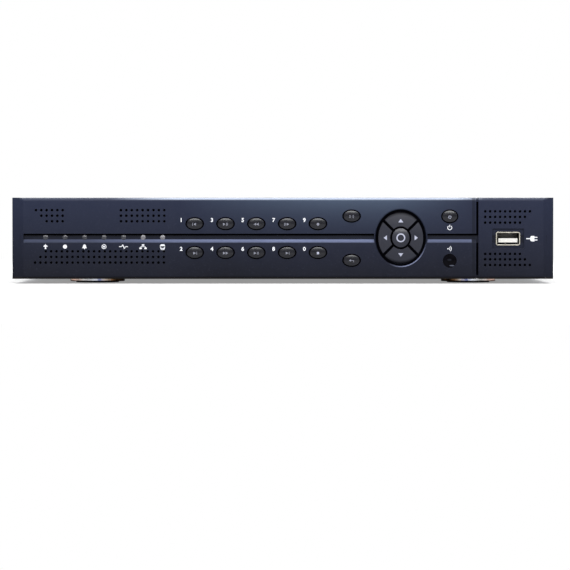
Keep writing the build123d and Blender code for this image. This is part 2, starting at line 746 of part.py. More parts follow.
# ---- rear jacks -----------------------------------------------------------------
def bnc_shell(x, z):
    """Bayonet barrel with its two side lugs, a hexagonal nut and a washer on the panel."""
    tip = REAR_Y + JACK_REACH
    washer_radius, washer_thick = BNC_WASHER
    across_flats, corner_radius, nut_thick = BNC_NUT
    nut_y = REAR_Y + washer_thick
    shell = rod_y(x, z, BNC_BARREL, INNER_Y - JACK_INSIDE, tip)
    shell += rod_y(x, z, BNC_RADIUS, tip - BNC_NOSE, tip)
    shell += rod_y(x, z, washer_radius, REAR_Y, nut_y)
    hexagon = Pos(x, z) * RegularPolygon(across_flats / 2, 6, major_radius=False)
    nut = along_y(hexagon, nut_y - GAP, nut_y + nut_thick)
    shell += nut & rod_y(x, z, corner_radius, nut_y - GAP, nut_y + nut_thick)
    shell += rod_x(tip - BNC_LUG_BACK, z, BNC_LUG_RADIUS, x - BNC_LUG_REACH, x + BNC_LUG_REACH)
    shell -= rod_y(x, z, BNC_BORE, tip - 8.6, tip + 1)
    shell -= rod_y(x, z, BNC_CORE + GAP, INNER_Y - JACK_INSIDE - 1, tip)
    return shell


def bnc_insulator(x, z):
    tip = REAR_Y + JACK_REACH
    body = rod_y(x, z, BNC_CORE, INNER_Y - JACK_INSIDE, tip - BNC_CORE_BACK)
    return body - rod_y(x, z, BNC_PIN + GAP, INNER_Y - JACK_INSIDE - 1, tip)


def bnc_contact(x, z):
    tip = REAR_Y + JACK_REACH
    body = rod_y(x, z, BNC_PIN, INNER_Y - JACK_INSIDE - 4.0, tip - BNC_PIN_BACK)
    return body - rod_y(x, z, BNC_PIN_HOLE, tip - 9.0, tip)


def rca_shell(x, z, base_radius):
    tip = REAR_Y + RCA_REACH
    shell = rod_y(x, z, RCA_INSIDE_RADIUS, INNER_Y - JACK_INSIDE, tip)
    shell += rod_y(x, z, RCA_RADIUS, REAR_Y, tip)
    shell += rod_y(x, z, base_radius, REAR_Y, REAR_Y + 1.0)
    return shell - rod_y(x, z, RCA_BORE, INNER_Y - JACK_INSIDE - 1, tip + 1)


def rca_insert(x, z):
    tip = REAR_Y + RCA_REACH
    body = rod_y(x, z, RCA_BORE - GAP, INNER_Y - JACK_INSIDE, tip - 0.7)
    return body - rod_y(x, z, RCA_HOLE, tip - 10.0, tip)


def rca_shells():
    shells = [rca_shell(x, z, RCA_BASE) for x, z in red_jack_places()]
    shells.append(rca_shell(PAIR_X, PAIR_WHITE_Z, RCA_BASE))
    shells.append(rca_shell(OUT_X, OUT_RCA_Z, OUT_RCA_BASE))
    return shells


def jack_housings():
    """Black moulded blocks that hold the jacks on the board behind the panel."""
    front = INNER_Y - 0.1
    barrel_end = INNER_Y - JACK_INSIDE
    blocks = []
    for column in range(BNC_COLUMNS):
        x = BNC_FIRST_X - BNC_PITCH * column
        body = block(x - 8.6, x + 8.6, 97.0, front, BOARD_TOP, 41.0)
        for z in BNC_ROWS_Z:
            body -= rod_y(x, z, BNC_BARREL + GAP, barrel_end - GAP, front + 1)
            body -= rod_y(x, z, BNC_PIN + GAP, barrel_end - 4.2, front)
        blocks.append(body)
    row = block(RCA_ROW_X[3] - 6.5, RCA_ROW_X[0] + 6.2, 97.0, front, 32.5, 46.2)
    row += block(RCA_ROW_X[3] - 6.5, RCA_ROW_X[0] + 6.2, 88.0, 97.5, BOARD_TOP, 46.2)
    for x in RCA_ROW_X:
        row -= rod_y(x, RCA_ROW_Z, RCA_INSIDE_RADIUS + GAP, barrel_end - GAP, front + 1)
    blocks.append(row)
    output = block(OUT_X - 6.5, OUT_X + 6.5, 97.0, front, BOARD_TOP, 25.0)
    output -= rod_y(OUT_X, OUT_RCA_Z, RCA_INSIDE_RADIUS + GAP, barrel_end - GAP, front + 1)
    blocks.append(output)
    pair = block(PAIR_X - 5.4, PAIR_X + 5.4, 97.0, front, BOARD_TOP, 39.5)
    for z in (PAIR_WHITE_Z, PAIR_RED_Z):
        pair -= rod_y(PAIR_X, z, RCA_INSIDE_RADIUS + GAP, barrel_end - GAP, front + 1)
    blocks.append(pair)
    monitor = block(MONITOR_X - 9.5, MONITOR_X + 9.5, 94.0, 97.0, BOARD_TOP, 41.0)
    monitor += block(MONITOR_X - 9.5, MONITOR_X + 9.5, 96.9, front - 1.0, 28.5, 41.0)
    blocks.append(monitor)
    return blocks


def terminal_block(x, z, size, ways):
    """Open header with one square cell per terminal."""
    back = 101.0
    body = block(
        x - size[0] / 2, x + size[0] / 2, back, REAR_Y + 1.2, z - size[1] / 2, z + size[1] / 2
    )
    for way in range(ways):
        cell_x = x + (way - (ways - 1) / 2) * TERMINAL_PITCH
        body -= along_y(centred(cell_x, z, (3.1, size[1] - 1.8)), REAR_Y - 7.0, REAR_Y + 2)
        body -= rod_y(cell_x, z, 0.5 + GAP, back - 1, REAR_Y)
    return body


def terminal_blocks():
    return [
        terminal_block(ALARM_X, ALARM_Z, ALARM_SIZE, ALARM_WAYS),
        terminal_block(DATA_X, DATA_Z, DATA_SIZE, DATA_WAYS),
    ]


def contact_pins():
    """Pins of both terminal headers and the centre pin of the power jack."""
    pins = []
    for x, z, ways in ((ALARM_X, ALARM_Z, ALARM_WAYS), (DATA_X, DATA_Z, DATA_WAYS)):
        for way in range(ways):
            cell_x = x + (way - (ways - 1) / 2) * TERMINAL_PITCH
            pins.append(rod_y(cell_x, z, 0.5, 99.0, REAR_Y - 1.0))
    pins.append(rod_y(DC_X, DC_HOLE_Z, DC_PIN, 99.5, REAR_Y - 0.4))
    return pins


def av_port_shell():
    outer = Pos(AV_X, AV_Z) * av_outline(AV_SIZE)
    inner = Pos(AV_X, AV_Z) * av_outline(grown(AV_SIZE, -1.0))
    body = along_y(outer, 102.0, REAR_Y + 0.9)
    return [body - along_y(inner, 102.5, REAR_Y + 2)]


def av_port_tongue():
    heel = Pos(AV_X, AV_Z) * av_outline(grown(AV_SIZE, -1.2))
    tongue = centred(AV_X, AV_Z + 0.45, (10.6, 1.3))
    return [along_y(heel, 102.6, 106.0) + along_y(tongue, 105.9, REAR_Y - 0.6)]


def lan_opening(margin):
    """Network opening: a wide slot with a notch above it for the latch."""
    top = LAN_LOW + LAN_SIZE[1]
    shape = centred(STACK_X, LAN_LOW + LAN_SIZE[1] / 2, grown(LAN_SIZE, margin))
    notch = centred(STACK_X, top + LAN_NOTCH[1] / 2 - 0.1, grown(LAN_NOTCH, margin + 0.2))
    return shape + notch


def lan_usb_shell():
    """Folded metal can of the network jack and the two USB sockets below it."""
    face = REAR_Y + 0.8
    half_w = STACK_SIZE[0] / 2
    low = STACK_Z - STACK_SIZE[1] / 2
    high = STACK_Z + STACK_SIZE[1] / 2
    wall = 0.35
    can = block(STACK_X - half_w, STACK_X + half_w, 94.0, face, low, high)
    can -= block(
        STACK_X - half_w + wall, STACK_X + half_w - wall, 93.0, face - wall, low + wall, high - wall
    )
    can -= along_y(lan_opening(0.0), face - 2, face + 1)
    for z in STACK_USB_Z:
        socket = fillet(centred(STACK_X, z, STACK_USB_SIZE).vertices(), 0.5)
        can -= along_y(socket, face - 2, face + 1)
    can -= [along_y(window, face - 2, face + 1) for window in stack_windows(0.0)]
    return [can]


def lan_usb_insert():
    """Insulating core with the network cavity and a tongue in each USB cavity."""
    face = REAR_Y + 0.8 - 0.4
    half_w = STACK_SIZE[0] / 2 - 0.4
    low = STACK_Z - STACK_SIZE[1] / 2 + 0.4
    high = STACK_Z + STACK_SIZE[1] / 2 - 0.4
    core = block(STACK_X - half_w, STACK_X + half_w, 95.0, face, low, high)
    core -= along_y(lan_opening(0.0), face - 12.0, face + 1)
    for z in STACK_USB_Z:
        core -= along_y(centred(STACK_X, z, STACK_USB_SIZE), face - 9.0, face + 1)
        core += along_y(centred(STACK_X, z + 0.9, (11.1, 1.8)), face - 9.1, face - 0.6)
    core -= [along_y(window, LAMP_WINDOW_BACK - 0.1, face + 1) for window in stack_windows(0.0)]
    return [core]


def monitor_port_shell():
    """Thin D-shaped shroud with its flange behind the panel."""
    place = Pos(MONITOR_X, MONITOR_Z)
    flange = along_y(place * Rectangle(*MONITOR_FLANGE), INNER_Y - 0.9, INNER_Y - GAP)
    shroud = along_y(place * d_outline(MONITOR_SIZE, 2.0), INNER_Y - 0.9, REAR_Y + MONITOR_REACH)
    body = flange + shroud
    body -= along_y(place * d_outline(grown(MONITOR_SIZE, -0.9), 1.6), INNER_Y - 2, 200.0)
    for side in (-1, 1):
        x = MONITOR_X + side * JACK_SCREW_SPACING / 2
        body -= rod_y(x, MONITOR_Z, JACK_SCREW_HOLE, INNER_Y - 2, REAR_Y)
    return [body]


def monitor_port_insert():
    """Insulator with three rows of five contact holes, the middle row shifted sideways."""
    place = Pos(MONITOR_X, MONITOR_Z)
    body = along_y(place * d_outline(grown(MONITOR_SIZE, -1.0), 1.5), INNER_Y - 0.9, REAR_Y + 5.2)
    holes = []
    for row, shift in zip((1, 0, -1), (0.57, -0.57, 0.57)):
        for k in range(5):
            x = MONITOR_X + shift + (k - 2) * 2.29
            holes.append(rod_y(x, MONITOR_Z + row * 1.98, 0.55, REAR_Y - 1.0, REAR_Y + 6))
    return [body - holes]


def jack_screws():
    screws = []
    for side in (-1, 1):
        x = MONITOR_X + side * JACK_SCREW_SPACING / 2
        hexagon = Pos(x, MONITOR_Z) * RegularPolygon(2.4, 6, major_radius=False)
        screw = along_y(hexagon, REAR_Y, REAR_Y + 5.2)
        screw += rod_y(x, MONITOR_Z, 1.5, INNER_Y - 3.0, REAR_Y + GAP)
        screws.append(screw - rod_y(x, MONITOR_Z, 1.25, REAR_Y + 0.6, REAR_Y + 6))
    return screws


def dc_jack():
    body = along_y(fillet(centred(DC_X, DC_Z, DC_SIZE).vertices(), 0.5), 101.0, REAR_Y + 0.7)
    body -= rod_y(DC_X, DC_HOLE_Z, DC_HOLE, REAR_Y - 9.0, REAR_Y + 2)
    return [body - rod_y(DC_X, DC_HOLE_Z, DC_PIN + GAP, 100.0, REAR_Y)]


def blank_plug():
    """Round plastic plug that closes the unused upper output opening."""
    head = rod_y(OUT_X, PLUG_Z, 7.35, REAR_Y, REAR_Y + 1.6)
    head = chamfer(head.edges().filter_by(GeomType.CIRCLE).sort_by(Axis.Y)[-1], 0.6)
    return [head + rod_y(OUT_X, PLUG_Z, 6.45, INNER_Y - 3.0, REAR_Y + GAP)]


# ---- inside -----------------------------------------------------------------------
def main_board():
    board = block(-150.0, 150.0, BOARD_FRONT_Y, INNER_Y - 0.3, BOARD_Z, BOARD_TOP)
    return [board - [rod_z(x, y, 1.35, 0, BOARD_TOP + 1) for x, y in board_screw_places()]]


CABLE_SOCKETS = ((22.0, 38.0), (6.0, 13.5), (15.0, 21.0), (132.0, 138.0))


def board_components():
    """Processor, video chips, memory, capacitors, coils, battery and cable sockets."""
    pieces = [block(24.0, 56.0, 36.0, 68.0, BOARD_TOP, BOARD_TOP + 2.0)]
    for k in range(4):
        x = -52.0 + 36.0 * k
        pieces.append(block(x - 7.0, x + 7.0, 76.0, 90.0, BOARD_TOP, BOARD_TOP + 1.4))
    for k in range(4):
        x = -10.0 - 15.0 * k
        pieces.append(block(x - 5.5, x + 5.5, 44.0, 57.0, BOARD_TOP, BOARD_TOP + 1.2))
    for k in range(6):
        pieces.append(rod_z(-130.0 + 11.0 * k, 66.0, 4.0, BOARD_TOP, BOARD_TOP + 11.0))
    for k in range(3):
        x = -126.0 + 18.0 * k
        coil = block(x - 6.0, x + 6.0, 40.0, 52.0, BOARD_TOP, BOARD_TOP + 5.5)
        pieces.append(fillet(coil.edges().filter_by(Axis.Z), 2.0))
    pieces.append(rod_z(96.0, 40.0, 10.0, BOARD_TOP, BOARD_TOP + 3.6))
    for x0, x1 in CABLE_SOCKETS:
        pieces.append(block(x0, x1, 6.0, 10.5, BOARD_TOP, BOARD_TOP + 8.0))
    return pieces


def heat_sink():
    """Finned block standing on the processor."""
    low = BOARD_TOP + 2.0
    sink = block(22.0, 58.0, 34.0, 70.0, low, low + 3.0)
    for k in range(10):
        x = 23.0 + k * 3.77
        sink += block(x - 0.6, x + 0.6, 34.0, 70.0, low + 2.9, low + 16.0)
    return [sink]


def hard_drive_body():
    """Cast drive base with its round and arm hollows, spindle and pivot pins, and the lid."""
    x1 = DRIVE_LEFT_X + DRIVE_LENGTH
    y1 = DRIVE_FRONT_Y + DRIVE_WIDTH
    split = DRIVE_Z + DRIVE_HEIGHT - DRIVE_LID
    floor = 11.5
    base = block(DRIVE_LEFT_X, x1, DRIVE_FRONT_Y, y1, DRIVE_Z, split)
    base = fillet(base.edges().filter_by(Axis.Z), 3.0)
    base -= rod_z(*SPINDLE, 48.5, floor, split + 1)
    base -= block(-60.0, -8.0, -90.0, -10.0, floor, split + 1)
    base += rod_z(*SPINDLE, 5.0, floor - GAP, 29.0)
    base += rod_z(*ARM_PIVOT, 3.0, floor - GAP, 27.0)
    lid = block(DRIVE_LEFT_X, x1, DRIVE_FRONT_Y, y1, split, DRIVE_Z + DRIVE_HEIGHT)
    return [base, fillet(lid.edges().filter_by(Axis.Z), 3.0)]


def hard_drive_platters():
    stack = rod_z(*SPINDLE, 12.0, 12.0, 28.5)
    for z in (15.0, 22.0):
        stack += rod_z(*SPINDLE, 47.0, z, z + 1.2)
    return [stack - rod_z(*SPINDLE, 5.0 + GAP, 0, 60)]


def hard_drive_arm():
    """Hub, tapered blade between the platters and the coil paddle behind the pivot."""
    blade = Polygon(
        (0, -5.0), (ARM_LENGTH, -1.6), (ARM_LENGTH, 1.6), (0, 5.0), align=None
    )
    place = Pos(*ARM_PIVOT) * Rot(0, 0, ARM_REST_ANGLE)
    arm = along_z(place * blade, 18.4, 19.8)
    arm += along_z(place * (Pos(-13.0, 0) * Circle(8.0)), 17.0, 21.0)
    arm += rod_z(*ARM_PIVOT, 7.0, 13.5, 26.0)
    return [arm - rod_z(*ARM_PIVOT, 3.0 + GAP, 0, 60)]


def fan_frame():
    """Square frame with a round duct, four struts and a hub that carries the rotor pin."""
    inner_x = FAN_OUTER_X - FAN_THICK
    half = FAN_SIZE / 2
    frame = block(inner_x, FAN_OUTER_X, FAN_Y - half, FAN_Y + half, FAN_Z - half, FAN_Z + half)
    frame = fillet(frame.edges().filter_by(Axis.X), 2.5)
    frame -= rod_x(FAN_Y, FAN_Z, half - 1.2, inner_x - 1, FAN_OUTER_X + 1)
    for dy in (-16.0, 16.0):
        for dz in (-16.0, 16.0):
            frame -= rod_x(FAN_Y + dy, FAN_Z + dz, 1.7, inner_x - 1, FAN_OUTER_X + 1)
    for turn in (0, 90):
        strut = Pos(FAN_Y, FAN_Z) * (Rot(0, 0, turn + 45) * Rectangle(FAN_SIZE - 2.0, 1.6))
        frame += along_x(strut, inner_x, inner_x + 1.2)
    frame += rod_x(FAN_Y, FAN_Z, 7.0, inner_x, inner_x + 1.2)
    return [frame + rod_x(FAN_Y, FAN_Z, 1.5, inner_x, inner_x + 7.5)]


BLADES = 7


def fan_rotor():
    x0 = FAN_OUTER_X - FAN_THICK + 1.8
    x1 = FAN_OUTER_X - 0.8
    rotor = rod_x(FAN_Y, FAN_Z, 7.5, x0, x1)
    for k in range(BLADES):
        blade = Pos((x0 + x1) / 2, 0, 12.4) * (Rot(0, 0, 42) * Box(0.9, 8.0, 11.4))
        rotor += Pos(0, FAN_Y, FAN_Z) * (Rot(360.0 * k / BLADES, 0, 0) * blade)
    rotor &= rod_x(FAN_Y, FAN_Z, 18.2, x0, x1)
    return [rotor - rod_x(FAN_Y, FAN_Z, 1.5 + GAP, x0 - 1, x0 + 6.0)]


def internal_cables():
    """Keypad ribbon, drive data and power leads, fan lead."""
    lead_y = 5.6
    ribbon = trace(ThreePointArc((-111.3, 14.0), (-53.0, 21.0), (lead_y, 14.0)), 0.9)
    data = trace(ThreePointArc((2.4, -25.0), (8.5, -12.0), (9.8, lead_y)), 1.4)
    power = trace(ThreePointArc((3.4, -62.0), (15.0, -30.0), (18.0, lead_y)), 3.0)
    fan = trace(ThreePointArc((142.6, -50.0), (138.0, -22.0), (135.0, lead_y)), 1.6)
    return [
        along_x(ribbon, 22.5, 37.5),
        along_z(data, 11.0, 18.0),
        along_z(power, 12.5, 15.5),
        along_z(fan, 12.5, 14.1),
    ]


# ---- feet --------------------------------------------------------------------------
def foot_places():
    return [(x, y) for x in (-FOOT_X, FOOT_X) for y in FOOT_ROWS_Y]


def foot_rings():
    """Bright cup-shaped feet, open below for the rubber pad."""
    rings = []
    for x, y in foot_places():
        cup = rod_z(x, y, FOOT_RADIUS, 0.6, CASE_BOTTOM)
        rims = cup.edges().filter_by(GeomType.CIRCLE)
        cup = fillet(rims, 0.5)
        cup -= rod_z(x, y, PAD_RADIUS + GAP, 0, CASE_BOTTOM - 1.0)
        rings.append(cup - rod_z(x, y, 1.45, 0, CASE_BOTTOM + 1))
    return rings


def foot_pads():
    pads = []
    for x, y in foot_places():
        pad = rod_z(x, y, PAD_RADIUS, 0.0, CASE_BOTTOM - 1.0)
        pads.append(pad - rod_z(x, y, 3.2, -1, CASE_BOTTOM))
    return pads


# ---- write every sub-part ------------------------------------------------------------
os.makedirs("parts", exist_ok=True)

save("base_pan", base_pan())
save("top_cover", top_cover())
save("front_bezel", [front_bezel()])
save("usb_end_panel", [usb_end_panel()])
save("ir_window", ir_window())
save("led_light_pipes", led_light_pipes())
for key_name in SWITCHES:
    save(key_name, key_solids(key_name))
save("keypad_board", keypad_board())
save("keypad_components", keypad_components())
save("front_usb_shell", front_usb_shell())
save("front_usb_tongue", front_usb_tongue())
save("case_screws", case_screws())
save("ground_screw", ground_screw())
save("bnc_shells", [bnc_shell(x, z) for x, z in bnc_places()])
save("bnc_insulators", [bnc_insulator(x, z) for x, z in bnc_places()])
save("bnc_contacts", [bnc_contact(x, z) for x, z in bnc_places()])
save("rca_shells", rca_shells())
save("rca_inserts_red", [rca_insert(x, z) for x, z in red_jack_places()])
save("rca_inserts_white", [rca_insert(x, z) for x, z in white_jack_places()])
save("jack_housings", jack_housings())
save("terminal_blocks", terminal_blocks())
save("contact_pins", contact_pins())
save("av_port_shell", av_port_shell())
save("av_port_tongue", av_port_tongue())
save("lan_usb_shell", lan_usb_shell())
save("lan_usb_insert", lan_usb_insert())
save("monitor_port_shell", monitor_port_shell())
save("monitor_port_insert", monitor_port_insert())
save("jack_screws", jack_screws())
save("dc_jack", dc_jack())
save("blank_plug", blank_plug())
save("main_board", main_board())
save("board_components", board_components())
save("heat_sink", heat_sink())
save("hard_drive_body", hard_drive_body())
save("hard_drive_platters", hard_drive_platters())
save("hard_drive_arm", hard_drive_arm())
save("fan_frame", fan_frame())
save("fan_rotor", fan_rotor())
save("internal_cables", internal_cables())
save("foot_rings", foot_rings())
save("foot_pads", foot_pads())
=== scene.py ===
import json
import math

import bmesh
import bpy
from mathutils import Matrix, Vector
from mathutils.bvhtree import BVHTree


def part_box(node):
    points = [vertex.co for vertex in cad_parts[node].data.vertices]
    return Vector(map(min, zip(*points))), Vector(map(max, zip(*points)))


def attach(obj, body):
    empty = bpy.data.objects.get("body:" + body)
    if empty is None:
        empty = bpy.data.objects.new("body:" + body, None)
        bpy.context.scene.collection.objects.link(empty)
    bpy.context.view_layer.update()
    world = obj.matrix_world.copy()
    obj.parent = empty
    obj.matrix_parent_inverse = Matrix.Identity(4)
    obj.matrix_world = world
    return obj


# Looks of a surveillance video recorder. Lengths are metres in the CAD frame unless a name ends in
# _mm: +X right seen from the front, the front faces -Y, +Z up, the floor is z = 0.

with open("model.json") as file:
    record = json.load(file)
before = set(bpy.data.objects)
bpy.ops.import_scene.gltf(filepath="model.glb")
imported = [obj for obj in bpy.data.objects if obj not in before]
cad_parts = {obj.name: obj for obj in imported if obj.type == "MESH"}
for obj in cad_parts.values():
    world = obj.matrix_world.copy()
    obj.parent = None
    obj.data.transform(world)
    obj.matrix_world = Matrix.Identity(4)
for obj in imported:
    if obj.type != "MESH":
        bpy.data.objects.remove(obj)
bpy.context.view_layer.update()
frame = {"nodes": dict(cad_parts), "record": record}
MM = 0.001


# ---- places read from the frame -------------------------------------------------------------
def solids_of(node):
    """(low, high) box of each separate solid in a CAD node, ordered by X, then Z."""
    mesh = bmesh.new()
    mesh.from_mesh(frame["nodes"][node].data)
    bmesh.ops.remove_doubles(mesh, verts=mesh.verts, dist=1e-6)
    seen = set()
    boxes = []
    for start in mesh.verts:
        if start in seen:
            continue
        seen.add(start)
        stack = [start]
        low = start.co.copy()
        high = start.co.copy()
        while stack:
            vert = stack.pop()
            for axis in range(3):
                low[axis] = min(low[axis], vert.co[axis])
                high[axis] = max(high[axis], vert.co[axis])
            for edge in vert.link_edges:
                other = edge.other_vert(vert)
                if other not in seen:
                    seen.add(other)
                    stack.append(other)
        boxes.append((low, high))
    mesh.free()
    return sorted(boxes, key=lambda b: (round(b[0].x, 4), round(b[0].z, 4)))


def middle(box):
    return (box[0] + box[1]) / 2


FACE_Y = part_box("front_bezel")[0].y
PANEL_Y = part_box("base_pan")[1].y
FASCIA_LOW, FASCIA_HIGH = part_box("front_bezel")
FRONT_LAMPS = [b for b in solids_of("led_light_pipes") if b[0].y < 0]
LAMP_Z = middle(FRONT_LAMPS[0]).z
CAMERA_JACKS = [middle(b) for b in solids_of("bnc_contacts")]
AUDIO_JACKS = [middle(b) for b in solids_of("rca_shells")]
DIGIT_KEYS = [f"key_{d}" for d in range(10)]
ARROWS = ("arrow_up", "arrow_down", "arrow_left", "arrow_right")
PAD = middle(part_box("key_ok"))
FACE_EDGES = [v.co.x for v in frame["nodes"]["front_bezel"].data.vertices if abs(v.co.y - FACE_Y) < 1e-5]
END_EDGES = [v.co.x for v in frame["nodes"]["usb_end_panel"].data.vertices if abs(v.co.y - FACE_Y) < 1e-5]
BEVEL_LEFT = min(FACE_EDGES)
SPLIT_X = max(FACE_EDGES)
SOCKET_LEFT = middle(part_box("front_usb_shell")).x - 10.0 * MM
BEVEL_RIGHT = max(END_EDGES)


# ---- materials ------------------------------------------------------------------------------
class Paint:
    """A procedural material under construction; patterns are drawn in row-frame metres."""

    def __init__(self, name):
        self.material = bpy.data.materials.new(name)
        self.material.use_nodes = True
        self.tree = self.material.node_tree
        self.shader = self.tree.nodes["Principled BSDF"]
        self.point = self.node("ShaderNodeTexCoord").outputs["Object"]

    def feed(self, socket, value):
        if isinstance(value, bpy.types.NodeSocket):
            self.tree.links.new(value, socket)
        else:
            socket.default_value = value

    def node(self, kind, inputs=None, **settings):
        made = self.tree.nodes.new(kind)
        for name, value in settings.items():
            setattr(made, name, value)
        for name, value in (inputs or {}).items():
            self.feed(made.inputs[name], value)
        return made

    def math(self, operation, a, b=0.0, clamp=False):
        made = self.node("ShaderNodeMath", operation=operation, use_clamp=clamp)
        self.feed(made.inputs[0], a)
        self.feed(made.inputs[1], b)
        return made.outputs[0]

    def noise(self, size_mm, detail=3.0, stretch=(1.0, 1.0, 1.0)):
        """Noise whose blotches are about size_mm across."""
        mapped = self.node("ShaderNodeMapping", {"Vector": self.point, "Scale": stretch})
        made = self.node(
            "ShaderNodeTexNoise",
            {"Vector": mapped.outputs[0], "Scale": 0.6 / (size_mm * MM), "Detail": detail},
        )
        return made.outputs["Fac"]

    def cells(self, size_mm):
        """Pebbled cells about size_mm across, 0 at each centre."""
        made = self.node(
            "ShaderNodeTexVoronoi", {"Vector": self.point, "Scale": 1.0 / (size_mm * MM)}
        )
        return made.outputs["Distance"]

    def ramp(self, value, low, high, start=0.0, end=1.0):
        """value from low..high stretched to start..end, clamped."""
        made = self.node(
            "ShaderNodeMapRange",
            {"Value": value, "From Min": low, "From Max": high, "To Min": start, "To Max": end},
        )
        return made.outputs[0]

    def blend(self, factor, a, b):
        made = self.node("ShaderNodeMix", data_type="RGBA")
        self.feed(made.inputs[0], factor)
        self.feed(made.inputs[6], a)
        self.feed(made.inputs[7], b)
        return made.outputs[2]

    def axis(self, letter):
        split = self.node("ShaderNodeSeparateXYZ", {"Vector": self.point})
        return split.outputs[letter]

    def facing(self, letter):
        """Component of the true surface normal along one axis."""
        normal = self.node("ShaderNodeNewGeometry").outputs["True Normal"]
        return self.node("ShaderNodeSeparateXYZ", {"Vector": normal}).outputs[letter]

    def soft_normal(self, radius_mm):
        made = self.node("ShaderNodeBevel", {"Radius": radius_mm * MM}, samples=4)
        return made.outputs[0]

    def worn(self, soft, low=0.01, high=0.25):
        """0 on flats and 1 on sharp edges, where the softened normal leaves the true one."""
        normal = self.node("ShaderNodeNewGeometry").outputs["True Normal"]
        dot = self.node("ShaderNodeVectorMath", operation="DOT_PRODUCT")
        self.feed(dot.inputs[0], soft)
        self.feed(dot.inputs[1], normal)
        return self.ramp(self.math("SUBTRACT", 1.0, dot.outputs["Value"]), low, high)

    def shaded(self, color, reach_mm, darkest=0.1):
        """The colour with painted shade: darkened where the surface lies deep in a hole or corner."""
        open_sky = self.node("ShaderNodeAmbientOcclusion", {"Distance": reach_mm * MM}, samples=8)
        light = self.ramp(open_sky.outputs["AO"], 0.25, 0.85, darkest, 1.0)
        mixed = self.node("ShaderNodeMix", data_type="RGBA", blend_type="MULTIPLY")
        mixed.inputs[0].default_value = 1.0
        self.feed(mixed.inputs[6], color)
        self.feed(mixed.inputs[7], light)
        return mixed.outputs[2]

    def bump(self, height, depth_mm, normal=None):
        inputs = {"Height": height, "Distance": depth_mm * MM}
        if normal is not None:
            inputs["Normal"] = normal
        return self.node("ShaderNodeBump", inputs).outputs[0]

    def finish(self, color, roughness, normal=None, metallic=0.0, **extra):
        self.feed(self.shader.inputs["Base Color"], color)
        self.feed(self.shader.inputs["Roughness"], roughness)
        self.feed(self.shader.inputs["Metallic"], metallic)
        if normal is not None:
            self.feed(self.shader.inputs["Normal"], normal)
        for name, value in extra.items():
            self.feed(self.shader.inputs[name.replace("_", " ")], value)
        return self.material


def rgb(red, green, blue):
    return (red, green, blue, 1.0)


def scaled(color, factor):
    return (color[0] * factor, color[1] * factor, color[2] * factor, 1.0)


def moulded_plastic(name, color, roughness=0.42, grain_mm=0.5, depth_mm=0.012, edge=0.0):
    """Moulded plastic: spark-eroded grain, cloudy tone, faint rubbing on the edges, painted shade in holes and
    corners.
    """
    paint = Paint(name)
    soft = paint.soft_normal(0.25)
    tone = paint.noise(35.0, 4.0)
    speck = paint.noise(0.9, 2.0)
    base = paint.blend(paint.ramp(tone, 0.35, 0.7), scaled(color, 0.86), scaled(color, 1.16))
    base = paint.blend(paint.ramp(speck, 0.55, 0.8, 0.0, 0.35), base, scaled(color, 1.5))
    if edge > 0.0:
        rub = paint.math("MULTIPLY", paint.worn(soft), paint.ramp(paint.noise(6.0), 0.4, 0.7))
        rub = paint.math("MULTIPLY", rub, edge)
        base = paint.blend(rub, base, rgb(0.16, 0.17, 0.2))
    rough = paint.ramp(paint.noise(3.0, 4.0), 0.3, 0.75, roughness - 0.06, roughness + 0.08)
    pebbles = paint.math("MULTIPLY", paint.cells(grain_mm * 1.4), 0.5)
    height = paint.math("ADD", paint.noise(grain_mm, 2.0), pebbles)
    normal = paint.bump(height, depth_mm, soft)
    return paint.finish(paint.shaded(base, 4.0), rough, normal, Specular_IOR_Level=0.3)


def plated_metal(name, color, roughness=0.2, stretch=(1.0, 1.0, 1.0), tarnish=0.25, darkest=0.3, room=0.0):
    """Plated metal: fine drawn marks, patchy dulling, painted shade in its holes down to darkest.

    room adds a painted reflection, the dark and bright sides of a room, to surfaces that turn away.
    """
    paint = Paint(name)
    soft = paint.soft_normal(0.12)
    cloud = paint.noise(5.0, 5.0)
    marks = paint.noise(0.35, 3.0, stretch)
    base = paint.blend(paint.ramp(cloud, 0.4, 0.75, 0.0, tarnish), color, scaled(color, 0.55))
    base = paint.blend(paint.ramp(marks, 0.55, 0.8, 0.0, 0.15), base, scaled(color, 1.1))
    if room > 0.0:
        leaning = paint.math("MULTIPLY", paint.facing("Z"), -0.8)
        leaning = paint.math("ADD", leaning, paint.math("MULTIPLY", paint.facing("X"), -0.6))
        turned = paint.math("ADD", leaning, paint.math("MULTIPLY", paint.noise(2.5, 2.0), 0.5))
        base = paint.blend(paint.ramp(turned, 0.0, -0.5, 0.0, room), base, scaled(color, 0.22))
        base = paint.blend(paint.ramp(turned, 0.35, 0.8, 0.0, room), base, rgb(0.95, 0.93, 0.88))
    rough = paint.ramp(paint.noise(1.6, 4.0), 0.3, 0.75, roughness * 0.7, roughness * 1.5)
    normal = paint.bump(marks, 0.0015, soft)
    return paint.finish(paint.shaded(base, 5.0, darkest), rough, normal, metallic=1.0)


# Painted glints on the infrared lens: offset across and up from its middle, reach up and across (mm), strength.
LENS_GLINTS = (
    (-0.2, 0.5, 0.6, 1.3, 0.12),
    (1.2, -2.8, 0.4, 1.5, 0.9),
)


def pad_zone(paint):
    """1 inside the ellipse of the arrow pad and its rim, 0 outside."""
    parts = []
    for letter, centre, reach_mm in (("X", PAD.x, 15.2), ("Z", PAD.z, 17.0)):
        away = paint.math("SUBTRACT", paint.axis(letter), centre)
        parts.append(paint.math("POWER", paint.math("ABSOLUTE", paint.math("DIVIDE", away, reach_mm * MM)), 2.0))
    return paint.math("LESS_THAN", paint.math("ADD", parts[0], parts[1]), 1.0)


